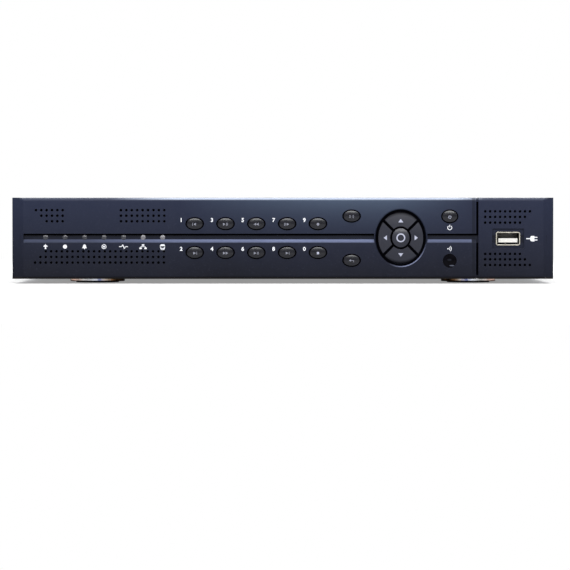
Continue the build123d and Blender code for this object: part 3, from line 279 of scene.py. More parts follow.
def fascia_paint():
    """Dark navy fascia with painted light: paler towards the top, on its upper edge and on the sloping bevel under
    the lamps.
    """
    paint = Paint("fascia_plastic")
    soft = paint.soft_normal(0.3)
    height = paint.axis("Z")
    across = paint.axis("X")
    depth = paint.axis("Y")
    upward = paint.facing("Z")
    # Painted light: darker at the foot, paler towards the top.
    rise = paint.ramp(height, FASCIA_LOW.z, FASCIA_HIGH.z)
    base = paint.blend(rise, rgb(0.0055, 0.0062, 0.0115), rgb(0.0175, 0.0230, 0.0490))
    # Painted sheen in the upper middle of the face, a reflection of the light above.
    bright = paint.math("MULTIPLY", paint.ramp(across, -60 * MM, 30 * MM),
                        paint.ramp(across, 60 * MM, 110 * MM, 1.0, 0.0))
    bright = paint.math("MULTIPLY", bright, paint.math("POWER", rise, 5.0))
    base = paint.blend(bright, base, rgb(0.0700, 0.0980, 0.1500))
    tone = paint.ramp(paint.noise(70.0, 4.0), 0.35, 0.7, 0.0, 0.2)
    base = paint.blend(tone, base, rgb(0.0240, 0.0280, 0.0560))
    speck = paint.ramp(paint.noise(0.7, 2.0), 0.58, 0.8, 0.0, 0.2)
    base = paint.blend(speck, base, rgb(0.040, 0.044, 0.075))
    # Recesses, slits and dots gather shade; the end bevels and rounded edges do not.
    deep = paint.ramp(depth, FACE_Y + 0.2 * MM, FACE_Y + 0.75 * MM)
    inner = paint.math("MULTIPLY", paint.ramp(across, BEVEL_LEFT, BEVEL_LEFT + 0.2 * MM),
                       paint.ramp(across, BEVEL_RIGHT - 0.2 * MM, BEVEL_RIGHT, 1.0, 0.0))
    level = paint.math("MULTIPLY", paint.ramp(height, FASCIA_LOW.z + 2.2 * MM, FASCIA_LOW.z + 2.4 * MM),
                       paint.ramp(height, FASCIA_HIGH.z - 2.4 * MM, FASCIA_HIGH.z - 2.2 * MM, 1.0, 0.0))
    shade = paint.math("MULTIPLY", deep, paint.math("MULTIPLY", inner, level))
    floor_band = paint.math("MULTIPLY", paint.ramp(height, LAMP_Z - 3.2 * MM, LAMP_Z - 3.0 * MM),
                            paint.ramp(height, LAMP_Z + 1.0 * MM, LAMP_Z + 1.2 * MM, 1.0, 0.0))
    shallow = paint.ramp(depth, FACE_Y + 1.25 * MM, FACE_Y + 1.3 * MM, 1.0, 0.0)
    groove = paint.math("MULTIPLY", floor_band, shallow)
    shade = paint.math("MULTIPLY", shade, paint.math("SUBTRACT", 1.0, groove))
    shade = paint.math("MAXIMUM", shade, paint.math("MULTIPLY", deep, pad_zone(paint)))
    socket_floor = paint.ramp(across, SOCKET_LEFT - MM, SOCKET_LEFT)
    socket_floor = paint.math("MULTIPLY", socket_floor, paint.ramp(depth, FACE_Y + 1.25 * MM, FACE_Y + 1.3 * MM, 1.0, 0.0))
    shade = paint.math("MULTIPLY", shade, paint.math("SUBTRACT", 1.0, socket_floor))
    base = paint.blend(shade, base, rgb(0.0012, 0.0012, 0.0020))
    # Painted shadow on the groove's floor, deepest under its upper edge.
    lip_shadow = paint.math("MULTIPLY", groove, paint.ramp(height, LAMP_Z + 0.2 * MM, LAMP_Z + 1.1 * MM, 0.45, 1.0))
    lip_shadow = paint.math("MULTIPLY", lip_shadow, paint.ramp(depth, FACE_Y + 1.1 * MM, FACE_Y + 1.15 * MM))
    base = paint.blend(lip_shadow, base, rgb(0.0012, 0.0012, 0.0020))
    # Painted light: pale lines on the surfaces that look up at the light.
    slope = paint.math("MULTIPLY", paint.ramp(upward, 0.3, 0.45), groove)
    lit = paint.math("MULTIPLY", paint.ramp(across, -110 * MM, -50 * MM, 0.3, 1.0),
                     paint.ramp(across, 50 * MM, 100 * MM, 1.0, 0.6))
    lit = paint.math("MULTIPLY", lit, paint.ramp(paint.noise(22.0), 0.3, 0.7, 0.75, 1.0))
    lit = paint.math("MULTIPLY", lit, paint.ramp(height, LAMP_Z - 3.1 * MM, LAMP_Z - 2.1 * MM, 0.25, 1.0))
    lit = paint.math("MULTIPLY", lit, paint.ramp(across, SPLIT_X - 2.8 * MM, SPLIT_X - 2.4 * MM, 1.0, 0.0))
    base = paint.blend(paint.math("MULTIPLY", slope, lit), base, rgb(0.160, 0.190, 0.320))
    # Painted highlight along the rounded top edge, fading towards both ends.
    top_highlight = paint.ramp(height, FASCIA_HIGH.z - 1.5 * MM, FASCIA_HIGH.z - 0.8 * MM)
    top_highlight = paint.math("MULTIPLY", top_highlight, paint.ramp(depth, FACE_Y + 0.9 * MM, FACE_Y + 1.8 * MM, 1.0, 0.0))
    glow = paint.math("MULTIPLY", paint.ramp(across, -100 * MM, -62 * MM, 0.06, 1.0),
                      paint.ramp(across, 100 * MM, 116 * MM, 1.0, 0.08))
    base = paint.blend(paint.math("MULTIPLY", top_highlight, glow), base, rgb(0.38, 0.43, 0.54))
    # The sloping rim round the arrow pad catches light at its lower right.
    rim = paint.math("MULTIPLY", paint.ramp(upward, 0.1, 0.5), pad_zone(paint))
    rim = paint.math("MULTIPLY", rim, paint.ramp(depth, FACE_Y + 0.60 * MM, FACE_Y + 0.66 * MM, 1.0, 0.0))
    rim = paint.math("MULTIPLY", rim, paint.ramp(across, PAD.x - 7 * MM, PAD.x + 3 * MM))
    base = paint.blend(rim, base, rgb(0.15, 0.17, 0.27))
    # The fascia's end rounds away from the light beside the split.
    beside = paint.math("MULTIPLY", paint.ramp(across, SPLIT_X - 2.6 * MM, SPLIT_X - 2.2 * MM),
                        paint.ramp(across, SPLIT_X - 0.6 * MM, SPLIT_X - 0.4 * MM, 1.0, 0.0))
    base = paint.blend(paint.math("MULTIPLY", beside, 0.5), base, rgb(0.004, 0.005, 0.010))
    # Painted shade along the rounded bottom edge.
    foot_shade = paint.ramp(height, FASCIA_LOW.z + 0.5 * MM, FASCIA_LOW.z + 1.4 * MM, 1.0, 0.0)
    base = paint.blend(foot_shade, base, rgb(0.012, 0.010, 0.009))
    rub = paint.math("MULTIPLY", paint.worn(soft), paint.ramp(paint.noise(7.0), 0.42, 0.7, 0.0, 0.35))
    base = paint.blend(rub, base, rgb(0.09, 0.10, 0.15))
    rough = paint.ramp(paint.noise(2.5, 4.0), 0.3, 0.75, 0.34, 0.48)
    grain = paint.math("ADD", paint.noise(0.4, 2.0), paint.math("MULTIPLY", paint.cells(0.55), 0.5))
    gloss = paint.math("MULTIPLY", paint.math("SUBTRACT", 1.0, shade), 0.14)
    return paint.finish(base, rough, paint.bump(grain, 0.008, soft), Specular_IOR_Level=gloss)


def key_paint(name, color, roughness=0.16, sunk_mm=-0.3):
    """Glossy key tops, black below sunk_mm where the slit shades them, with faint finger rubbing."""
    paint = Paint(name)
    rub = paint.ramp(paint.noise(4.0, 3.0), 0.45, 0.75, 0.0, 0.4)
    base = paint.blend(rub, color, scaled(color, 1.5))
    sunk = paint.ramp(paint.axis("Y"), FACE_Y + sunk_mm * MM, FACE_Y + (sunk_mm + 0.3) * MM)
    base = paint.blend(sunk, base, rgb(0.0006, 0.0006, 0.001))
    rough = paint.ramp(paint.noise(1.5, 4.0), 0.35, 0.75, roughness, roughness + 0.12)
    normal = paint.bump(paint.noise(0.8, 2.0), 0.0015, paint.soft_normal(0.2))
    above = paint.math("SUBTRACT", 1.0, sunk)
    coat = paint.math("MULTIPLY", above, 0.2)
    gloss = paint.math("MULTIPLY", above, 0.35)
    return paint.finish(
        base, rough, normal, Specular_IOR_Level=gloss, Coat_Weight=coat, Coat_Roughness=0.12
    )


def painted_sheet(name, color, grain_mm, depth_mm, roughness, fleck, chip, gloss):
    """Painted sheet steel: orange-peel grain, flecks in the paint, chips of metal on edges."""
    paint = Paint(name)
    soft = paint.soft_normal(0.35)
    tone = paint.noise(90.0, 4.0)
    base = paint.blend(paint.ramp(tone, 0.35, 0.7), scaled(color, 0.95), scaled(color, 1.05))
    speck = paint.ramp(paint.noise(0.5, 1.0), 0.58, 0.7, 0.0, fleck)
    base = paint.blend(speck, base, scaled(color, 2.2 if color[0] < 0.1 else 1.12))
    edge = paint.math("MULTIPLY", paint.worn(soft, 0.03, 0.3), paint.ramp(paint.noise(3.0, 5.0), 0.6, 0.68))
    edge = paint.math("MULTIPLY", edge, chip)
    base = paint.blend(edge, base, rgb(0.35, 0.35, 0.36))
    rough = paint.ramp(paint.noise(8.0, 5.0), 0.3, 0.75, roughness - 0.06, roughness + 0.08)
    pebbles = paint.math("MULTIPLY", paint.cells(grain_mm), 0.6)
    peel = paint.math("ADD", paint.noise(grain_mm, 2.0), pebbles)
    return paint.finish(base, rough, paint.bump(peel, depth_mm, soft), Specular_IOR_Level=gloss)


def board_paint():
    """Solder-masked board: copper tracks show as lighter green lines under the mask."""
    paint = Paint("board_green")
    brick = paint.node(
        "ShaderNodeTexBrick",
        {"Vector": paint.point, "Scale": 160.0, "Mortar Size": 0.03, "Brick Width": 0.9},
    )
    tracks = paint.ramp(brick.outputs["Fac"], 0.2, 0.8)
    base = paint.blend(tracks, rgb(0.012, 0.10, 0.045), rgb(0.03, 0.2, 0.09))
    cloud = paint.ramp(paint.noise(12.0), 0.35, 0.7, 0.0, 0.4)
    base = paint.blend(cloud, base, rgb(0.008, 0.07, 0.035))
    return paint.finish(base, 0.35, paint.bump(tracks, 0.03), Coat_Weight=0.3)


def lamp_paint():
    """Cloudy light pipes; the two at the right end of the row are clearer and brighter."""
    paint = Paint("lamp_plastic")
    bright_from = middle(FRONT_LAMPS[5]).x - 2 * MM
    front = paint.ramp(paint.axis("Y"), 0.0, 0.001, 1.0, 0.0)
    bright = paint.math("MULTIPLY", paint.ramp(paint.axis("X"), bright_from, bright_from + MM), front)
    cloud = paint.noise(0.8, 3.0)
    dull = paint.blend(cloud, rgb(0.015, 0.017, 0.026), rgb(0.07, 0.072, 0.09))
    clear = paint.blend(cloud, rgb(0.12, 0.12, 0.14), rgb(0.34, 0.33, 0.36))
    pipe = paint.blend(bright, dull, clear)
    network = paint.blend(cloud, rgb(0.10, 0.13, 0.015), rgb(0.24, 0.28, 0.04))
    base = paint.blend(front, network, pipe)
    return paint.finish(
        base, 0.2, paint.bump(cloud, 0.01), Transmission_Weight=0.2, Coat_Weight=0.15
    )


def print_ink(name, color, wear=0.25):
    """Screen-printed ink: slightly broken edge to edge, matte, with pinholes."""
    paint = Paint(name)
    thin = paint.ramp(paint.noise(0.35, 3.0), 0.55, 0.78, 0.0, wear)
    base = paint.blend(thin, color, scaled(color, 0.6))
    return paint.finish(base, 0.5, paint.bump(paint.noise(0.3), 0.004), Specular_IOR_Level=0.12)


def lens_paint():
    """Near-black window over the infrared receiver, with a faint painted glint near its middle and a bright one at
    its lower right.
    """
    paint = Paint("lens_plastic")
    window = middle(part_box("ir_window"))
    deep = paint.ramp(paint.noise(2.0), 0.35, 0.7)
    base = paint.blend(deep, rgb(0.0008, 0.0007, 0.0012), rgb(0.003, 0.0026, 0.005))
    for offset_x, offset_z, tall, wide, glow in LENS_GLINTS:
        near = []
        for letter, centre, reach in (("X", window.x + offset_x * MM, wide), ("Z", window.z + offset_z * MM, tall)):
            away = paint.math("SUBTRACT", paint.axis(letter), centre)
            near.append(paint.math("POWER", paint.math("ABSOLUTE", paint.math("DIVIDE", away, reach * MM)), 2.0))
        spot = paint.ramp(paint.math("ADD", near[0], near[1]), 0.6, 1.1, glow, 0.0)
        base = paint.blend(spot, base, rgb(0.10, 0.11, 0.15))
    rough = paint.ramp(paint.noise(0.8), 0.3, 0.8, 0.1, 0.2)
    return paint.finish(base, rough, paint.bump(paint.noise(1.2), 0.004), Specular_IOR_Level=0.06)


def foot_chrome():
    """Bright plated feet coloured with a painted reflection: the brown, white and blue streaks of a room round them.
    """
    paint = Paint("chrome_foot")
    side = paint.math("SIGN", paint.axis("X"))
    turn = paint.math("MULTIPLY", paint.facing("X"), side)
    wobble = paint.math("MULTIPLY", paint.math("SUBTRACT", paint.noise(4.0, 3.0, (1.0, 1.0, 0.05)), 0.5), 0.35)
    turn = paint.math("ADD", turn, wobble)
    room = paint.node("ShaderNodeValToRGB", {"Fac": paint.ramp(turn, -1.0, 1.0)})
    stops = (
        (0.0, rgb(0.16, 0.07, 0.02)),
        (0.22, rgb(0.42, 0.22, 0.10)),
        (0.34, rgb(0.86, 0.78, 0.70)),
        (0.42, rgb(0.22, 0.25, 0.55)),
        (0.50, rgb(0.80, 0.84, 0.95)),
        (0.72, rgb(0.92, 0.90, 0.88)),
        (0.90, rgb(0.80, 0.52, 0.42)),
    )
    ramp = room.color_ramp
    while len(ramp.elements) < len(stops):
        ramp.elements.new(0.5)
    for element, (place, color) in zip(ramp.elements, stops):
        element.position = place
        element.color = color
    rough = paint.ramp(paint.noise(2.0, 4.0), 0.3, 0.75, 0.08, 0.2)
    normal = paint.bump(paint.noise(0.5, 2.0, (1.0, 1.0, 14.0)), 0.002, paint.soft_normal(0.2))
    return paint.finish(room.outputs["Color"], rough, normal, metallic=1.0)


def rubber_paint(name, color):
    paint = Paint(name)
    dust = paint.ramp(paint.noise(2.0, 4.0), 0.45, 0.75, 0.0, 0.35)
    base = paint.blend(dust, color, rgb(0.10, 0.095, 0.09))
    return paint.finish(base, 0.8, paint.bump(paint.noise(0.5), 0.03, paint.soft_normal(0.3)))


def cable_paint():
    """Grey ribbon and leads, lightly ribbed along their length."""
    paint = Paint("cable_skin")
    wave = paint.node("ShaderNodeTexWave", {"Vector": paint.point, "Scale": 400.0, "Distortion": 0.4})
    base = paint.blend(wave.outputs["Fac"], rgb(0.10, 0.10, 0.11), rgb(0.26, 0.26, 0.27))
    return paint.finish(base, 0.55, paint.bump(wave.outputs["Fac"], 0.08))


SHELL_WHITE = rgb(0.78, 0.77, 0.74)
MATERIALS = {
    "rear_silver": painted_sheet("rear_silver", rgb(0.34, 0.405, 0.535), 1.2, 0.02, 0.42, 0.25, 0.4, 0.4),
    "cover_black": painted_sheet("cover_black", rgb(0.0050, 0.0062, 0.0085), 0.7, 0.05, 0.64, 0.4, 0.6, 0.18),
    "fascia_plastic": fascia_paint(),
    "key_plastic": key_paint("key_plastic", rgb(0.0065, 0.0070, 0.0115)),
    "lens_plastic": lens_paint(),
    "lamp_plastic": lamp_paint(),
    "board_green": board_paint(),
    "black_plastic": moulded_plastic("black_plastic", rgb(0.014, 0.014, 0.016), edge=0.3),
    "nickel": plated_metal("nickel", rgb(0.50, 0.485, 0.46), 0.2, room=0.8),
    "tin_sheet": plated_metal("tin_sheet", rgb(0.37, 0.37, 0.365), 0.3, (1.0, 1.0, 0.08)),
    "white_plastic": moulded_plastic("white_plastic", SHELL_WHITE, 0.4, 0.6, 0.006),
    "red_plastic": moulded_plastic("red_plastic", rgb(0.085, 0.007, 0.011), 0.3, 0.6, 0.006),
    "green_plastic": moulded_plastic("green_plastic", rgb(0.008, 0.090, 0.048), 0.4, 0.5, 0.01),
    "blue_plastic": moulded_plastic("blue_plastic", rgb(0.045, 0.19, 0.66), 0.35, 0.5, 0.006),
    "contact_metal": plated_metal("contact_metal", rgb(0.45, 0.38, 0.25), 0.25, darkest=0.05),
    "zinc_steel": plated_metal("zinc_steel", rgb(0.58, 0.55, 0.5), 0.25, (1.0, 0.1, 1.0)),
    "chrome_foot": foot_chrome(),
    "rubber_black": rubber_paint("rubber_black", rgb(0.02, 0.02, 0.02)),
    "cast_alloy": plated_metal("cast_alloy", rgb(0.42, 0.42, 0.43), 0.45),
    "platter_metal": plated_metal("platter_metal", rgb(0.8, 0.8, 0.82), 0.05),
    "fin_aluminium": plated_metal("fin_aluminium", rgb(0.6, 0.6, 0.62), 0.35, (20.0, 1.0, 1.0)),
    "cable_skin": cable_paint(),
}
INK_WHITE = print_ink("ink_white", rgb(0.86, 0.88, 0.93))
INK_BLACK = print_ink("ink_black", rgb(0.0025, 0.0028, 0.0040), 0.5)
INK_NAVY = print_ink("ink_navy", rgb(0.03, 0.045, 0.12))
INK_KEY = print_ink("ink_key", rgb(0.26, 0.27, 0.33), 0.6)
INK_BRIGHT = print_ink("ink_bright", rgb(0.46, 0.48, 0.60), 0.4)

def screw_paint():
    """Blackened screws, except the bright one on the rear panel, with painted shade in their recesses."""
    paint = Paint("black_screw")
    bright = paint.ramp(paint.axis("Y"), PANEL_Y - 2 * MM, PANEL_Y - MM)
    cloud = paint.ramp(paint.noise(1.5), 0.35, 0.7)
    dark = paint.blend(cloud, rgb(0.05, 0.05, 0.055), rgb(0.14, 0.14, 0.15))
    silver = paint.blend(cloud, rgb(0.50, 0.47, 0.44), rgb(0.80, 0.77, 0.73))
    base = paint.shaded(paint.blend(bright, dark, silver), 3.0)
    rough = paint.ramp(paint.noise(1.0), 0.3, 0.75, 0.18, 0.4)
    normal = paint.bump(paint.noise(0.4), 0.004, paint.soft_normal(0.15))
    return paint.finish(base, rough, normal, metallic=1.0)


MATERIALS["black_screw"] = screw_paint()
PAD_KEY_PAINT = key_paint("pad_key_plastic", rgb(0.0130, 0.0145, 0.0260), 0.3, 0.62)
SOCKET_PAINT = plated_metal("socket_plate", rgb(0.85, 0.81, 0.70), 0.25, darkest=0.05)
PLUG_PAINT = moulded_plastic("plug_plastic", rgb(0.020, 0.022, 0.042))
# Darker copy of the contact metal for the pins deep in the camera jacks: painted shade.
BNC_PIN_PAINT = plated_metal("jack_contact", rgb(0.30, 0.26, 0.20), 0.3, darkest=0.02)

for entry in frame["record"]["subparts"]:
    node = frame["nodes"][entry["node"]]
    node.data.materials.clear()
    node.data.materials.append(MATERIALS[entry["material_slot"]])
for name in ARROWS + ("key_ok",):
    frame["nodes"][name].data.materials[0] = PAD_KEY_PAINT
frame["nodes"]["front_usb_shell"].data.materials[0] = SOCKET_PAINT
frame["nodes"]["blank_plug"].data.materials[0] = PLUG_PAINT
frame["nodes"]["bnc_contacts"].data.materials[0] = BNC_PIN_PAINT


# ---- flat marks: outlines in millimetres (u right, v up), built as thin prisms -----------------
def strip(u0, v0, u1, v1, width):
    """Straight stroke between two points."""
    length = math.hypot(u1 - u0, v1 - v0)
    du = -(v1 - v0) / length * width / 2
    dv = (u1 - u0) / length * width / 2
    return [[(u0 + du, v0 + dv), (u0 - du, v0 - dv), (u1 - du, v1 - dv), (u1 + du, v1 + dv)]]


def path(points, width):
    strokes = []
    for (u0, v0), (u1, v1) in zip(points, points[1:]):
        strokes += strip(u0, v0, u1, v1, width)
    return strokes


def disc(u, v, radius, tall=1.0, sides=20):
    turn = 2 * math.pi / sides
    return [[(u + radius * math.cos(k * turn), v + tall * radius * math.sin(k * turn)) for k in range(sides)]]


def arc(u, v, radius, width, start, end, sides=14):
    """Stroke along a circle from start to end degrees."""
    quads = []
    step = math.radians(end - start) / sides
    inner = radius - width / 2
    outer = radius + width / 2
    for k in range(sides):
        a = math.radians(start) + k * step
        b = a + step
        quads.append(
            [
                (u + inner * math.cos(a), v + inner * math.sin(a)),
                (u + outer * math.cos(a), v + outer * math.sin(a)),
                (u + outer * math.cos(b), v + outer * math.sin(b)),
                (u + inner * math.cos(b), v + inner * math.sin(b)),
            ]
        )
    return quads


def rectangle(u, v, width, height):
    w = width / 2
    h = height / 2
    return [[(u - w, v - h), (u + w, v - h), (u + w, v + h), (u - w, v + h)]]


def rounded(u0, v0, u1, v1, radii, sides=6):
    """Rectangle whose corners (low-left, low-right, high-right, high-left) have their own radii."""
    corners = ((u0, v0, 180), (u1, v0, 270), (u1, v1, 0), (u0, v1, 90))
    points = []
    for (u, v, first), radius in zip(corners, radii):
        cu = u + radius * (1 if u == u0 else -1)
        cv = v + radius * (1 if v == v0 else -1)
        if radius == 0:
            points.append((u, v))
            continue
        for k in range(sides + 1):
            angle = math.radians(first + 90.0 * k / sides)
            points.append((cu + radius * math.cos(angle), cv + radius * math.sin(angle)))
    return [points]


def outline(u0, v0, u1, v1, radii, width):
    """Line frame with rounded corners, as strokes along the rounded rectangle."""
    points = rounded(u0, v0, u1, v1, radii)[0]
    return path(points + points[:1], width)


def moved(shapes, u, v, scale=1.0):
    return [[(u + scale * a, v + scale * b) for a, b in shape] for shape in shapes]


# Pictograms, one unit tall about their own centre.
def up_mark():
    return [[(-0.5, 0.0), (0.5, 0.0), (0.0, 0.5)]] + strip(0, 0.02, 0, -0.5, 0.3)


def dot_mark():
    return disc(0, 0, 0.42)


def bell_mark():
    dome = [(0.3 * math.cos(math.radians(a)), 0.1 + 0.36 * math.sin(math.radians(a))) for a in range(0, 181, 20)]
    return [[(0.48, -0.32), (0.3, 0.1)] + dome[1:-1] + [(-0.3, 0.1), (-0.48, -0.32)]] + disc(0, -0.42, 0.1)


def ring_mark():
    return arc(0, 0, 0.42, 0.13, 0, 360, 24) + disc(0, 0, 0.2)


def pulse_mark():
    return path([(-0.9, 0), (-0.4, 0), (-0.15, 0.45), (0.15, -0.45), (0.4, 0), (0.9, 0)], 0.16)


def tree_mark():
    return (
        rectangle(0, 0.34, 0.5, 0.3)
        + rectangle(-0.5, -0.34, 0.5, 0.3)
        + rectangle(0.5, -0.34, 0.5, 0.3)
        + path([(0, 0.3), (0, 0.0), (-0.5, 0.0), (-0.5, -0.2)], 0.1)
        + path([(0, 0.0), (0.5, 0.0), (0.5, -0.2)], 0.1)
    )


def drum_mark():
    return (
        disc(0, 0.3, 0.5, 0.4)
        + arc(0, 0.12, 0.5, 0.13, 205, 335)
        + arc(0, -0.12, 0.5, 0.13, 205, 335)
        + strip(-0.46, 0.3, -0.46, -0.3, 0.1)
        + strip(0.46, 0.3, 0.46, -0.3, 0.1)
    )


def power_mark():
    return arc(0, -0.03, 0.4, 0.13, 125, 415, 20) + strip(0, 0.05, 0, 0.52, 0.13)


def wave_mark():
    return disc(-0.4, 0, 0.14) + arc(-0.4, 0, 0.42, 0.12, -48, 48) + arc(-0.4, 0, 0.75, 0.12, -48, 48)


def plug_mark():
    return (
        rounded(-0.35, -0.45, 0.35, 0.45, (0.3, 0.0, 0.0, 0.3))
        + rectangle(0.6, 0.22, 0.5, 0.14)
        + rectangle(0.6, -0.22, 0.5, 0.14)
        + strip(-0.3, 0, -1.0, 0, 0.16)
    )


def camera_mark():
    return rounded(-0.75, -0.4, 0.2, 0.4, (0.12, 0.12, 0.12, 0.12)) + [[(0.3, 0.0), (0.75, -0.34), (0.75, 0.34)]]


def speaker_mark():
    cone = [[(-0.55, -0.18), (-0.25, -0.18), (0.08, -0.45), (0.08, 0.45), (-0.25, 0.18), (-0.55, 0.18)]]
    return cone + arc(0.0, 0, 0.36, 0.1, -45, 45) + arc(0.0, 0, 0.6, 0.1, -45, 45)


def arrow_right_mark():
    return strip(-0.6, 0, 0.15, 0, 0.2) + [[(0.1, -0.4), (0.6, 0.0), (0.1, 0.4)]]


def screen_mark():
    return (
        outline(-0.7, -0.22, 0.7, 0.5, (0.05, 0.05, 0.05, 0.05), 0.12)
        + strip(0, -0.2, 0, -0.42, 0.16)
        + strip(-0.35, -0.45, 0.35, -0.45, 0.12)
    )


def both_ways_mark():
    over = moved(arrow_right_mark(), 0.0, 0.26, 0.55)
    under = [[(-a, b - 0.52) for a, b in shape] for shape in over]
    return over + [list(reversed(shape)) for shape in under]


def direct_mark():
    """Direct current: a full line over a broken one."""
    dashes = [shape for u in (-0.5, 0.0, 0.5) for shape in rectangle(u, -0.15, 0.3, 0.13)]
    return rectangle(0, 0.2, 1.3, 0.13) + dashes


def earth_mark():
    return (
        strip(0, 0.5, 0, 0.1, 0.12)
        + rectangle(0, 0.08, 1.1, 0.12)
        + rectangle(0, -0.16, 0.7, 0.12)
        + rectangle(0, -0.4, 0.34, 0.12)
    )


def play_mark(facing=1):
    return [[(-0.35 * facing, -0.42), (0.4 * facing, 0.0), (-0.35 * facing, 0.42)][::facing]]


def stop_bar(u):
    return rectangle(u, 0, 0.14, 0.84)


def previous_mark():
    return stop_bar(-0.62) + moved(play_mark(-1), 0.05, 0)


def next_mark():
    return moved(play_mark(), -0.05, 0) + stop_bar(0.62)


def rewind_mark():
    return moved(play_mark(-1), -0.4, 0) + moved(play_mark(-1), 0.4, 0)


def forward_mark():
    return moved(play_mark(), -0.4, 0) + moved(play_mark(), 0.4, 0)


def pause_mark():
    return moved(play_mark(), -0.4, 0) + stop_bar(0.3) + stop_bar(0.62)


def slow_mark():
    return stop_bar(-0.8) + stop_bar(-0.52) + moved(play_mark(), 0.2, 0)


def split_mark():
    return outline(-0.55, -0.42, 0.55, 0.42, (0, 0, 0, 0), 0.1) + strip(0, -0.4, 0, 0.4, 0.1) + strip(-0.5, 0, 0.5, 0, 0.1)


def lines_mark():
    return rectangle(0, 0.32, 1.4, 0.14) + rectangle(0, 0, 1.4, 0.14) + rectangle(0, -0.32, 1.4, 0.14)


def back_mark():
    return path([(0.6, -0.35), (0.6, 0.15), (-0.3, 0.15)], 0.14) + [[(-0.25, 0.5), (-0.8, 0.15), (-0.25, -0.2)]]


def square_mark():
    return rectangle(0, 0, 0.7, 0.7)


def digit_shapes(text, size_mm, bold_mm):
    """Faces of a number in the built-in font, centred, as (points, triangles) in millimetres."""
    curve = bpy.data.curves.new("digits", "FONT")
    curve.body = text
    curve.size = size_mm
    curve.offset = bold_mm
    curve.align_x = "CENTER"
    curve.align_y = "CENTER"
    curve.resolution_u = 3
    holder = bpy.data.objects.new("digits", curve)
    bpy.context.scene.collection.objects.link(holder)
    bpy.context.view_layer.update()
    mesh = holder.evaluated_get(bpy.context.evaluated_depsgraph_get()).to_mesh()
    points = [(v.co.x, v.co.y) for v in mesh.vertices]
    faces = [list(p.vertices) for p in mesh.polygons]
    shapes = [[points[i] for i in face] for face in faces]
    bpy.data.objects.remove(holder)
    bpy.data.curves.remove(curve)
    return shapes


PROUD = 0.03 * MM
SUNK = 0.02 * MM
KEY_LIFT = 0.03 * MM


def mesh_piece(name, verts, faces, material, body="case", smooth=False):
    """New object from row-frame vertices, painted and riding on a body."""
    data = bpy.data.meshes.new(name)
    data.from_pydata([tuple(v) for v in verts], [], faces)
    clean = bmesh.new()
    clean.from_mesh(data)
    bmesh.ops.recalc_face_normals(clean, faces=clean.faces)
    clean.to_mesh(data)
    clean.free()
    data.materials.append(material)
    for polygon in data.polygons:
        polygon.use_smooth = smooth
    made = bpy.data.objects.new(name, data)
    bpy.context.scene.collection.objects.link(made)
    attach(made, body)
    return made


def print_marks(name, shapes, place, material, body="case"):
    """Thin prisms of the shapes; place(u, v, lift) gives the point that far above the surface."""
    verts = []
    faces = []
    for shape in shapes:
        count = len(shape)
        start = len(verts)
        verts += [place(u, v, PROUD) for u, v in shape]
        verts += [place(u, v, -SUNK) for u, v in shape]
        faces.append(list(range(start, start + count)))
        faces.append(list(range(start + 2 * count - 1, start + count - 1, -1)))
        for k in range(count):
            after = (k + 1) % count
            faces.append([start + k, start + count + k, start + count + after, start + after])
    return mesh_piece(name, verts, faces, material, body)


def on_fascia(u, v, lift):
    """Millimetres from the middle of the front, on the fascia's flat face."""
    return Vector((u * MM, FACE_Y - lift, v * MM))


def on_panel(u, v, lift):
    """Millimetres on the rear panel; u is the row's X, so it grows to the left seen from behind."""
    return Vector((u * MM, PANEL_Y + lift, v * MM))


def on_band(u, v, lift):
    """Same place, on top of the ink already printed there."""
    return on_panel(u, v, lift + PROUD)


def on_key(name):
    """Places marks on a key's domed top by dropping onto its mesh."""
    mesh = frame["nodes"][name].data
    tree = BVHTree.FromPolygons([v.co for v in mesh.vertices], [p.vertices for p in mesh.polygons])
    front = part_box(name)[0].y

    def place(u, v, lift):
        start = Vector((u * MM, front - MM, v * MM))
        hit = tree.ray_cast(start, Vector((0.0, 1.0, 0.0)))[0]
        surface = hit.y if hit is not None else front
        return Vector((start.x, surface - KEY_LIFT - lift, start.z))

    return place


def behind(shapes, u, v, scale=1.0):
    """Marks turned to read from behind, put at the row's X = u, Z = v."""
    return [[(u - scale * a, v + scale * b) for a, b in reversed(shape)] for shape in shapes]


# ---- prints on the fascia and keys -----------------------------------------------------------
LAMP_MARKS = (up_mark, dot_mark, bell_mark, ring_mark, pulse_mark, tree_mark, drum_mark)
LAMP_MARK_DROP = 5.3
LAMP_MARK_SIZE = 2.8
DIGIT_OFFSET = (-7.8, 2.0)
DIGIT_SIZE = 3.1
KEY_MARKS = {
    "key_1": previous_mark,
    "key_3": pause_mark,
    "key_5": rewind_mark,
    "key_7": slow_mark,
    "key_9": dot_mark,
    "key_2": next_mark,
    "key_4": forward_mark,
    "key_6": pause_mark,
    "key_8": next_mark,
    "key_0": square_mark,
    "key_upper": lines_mark,
    "key_lower": back_mark,
    "key_power": power_mark,
}
BRIGHT_KEYS = ("key_0", "key_power")


def fascia_prints():
    shapes = []
    for lamp, mark in zip(FRONT_LAMPS, LAMP_MARKS):
        centre = middle(lamp) / MM
        shapes += moved(mark(), centre.x, centre.z - LAMP_MARK_DROP, LAMP_MARK_SIZE)
    for name in DIGIT_KEYS:
        centre = middle(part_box(name)) / MM
        number = digit_shapes(name[-1], DIGIT_SIZE, 0.1)
        shapes += moved(number, centre.x + DIGIT_OFFSET[0], centre.z + DIGIT_OFFSET[1])
    power = middle(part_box("key_power")) / MM
    shapes += moved(power_mark(), power.x, power.z - 6.4, 3.0)
    window = middle(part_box("ir_window")) / MM
    shapes += moved(wave_mark(), window.x, window.z + 6.9, 2.6)
    socket = middle(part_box("front_usb_shell")) / MM
    shapes += moved(plug_mark(), socket.x + 13.9, socket.z, 3.5)
    print_marks("fascia_prints", shapes, on_fascia, INK_WHITE)


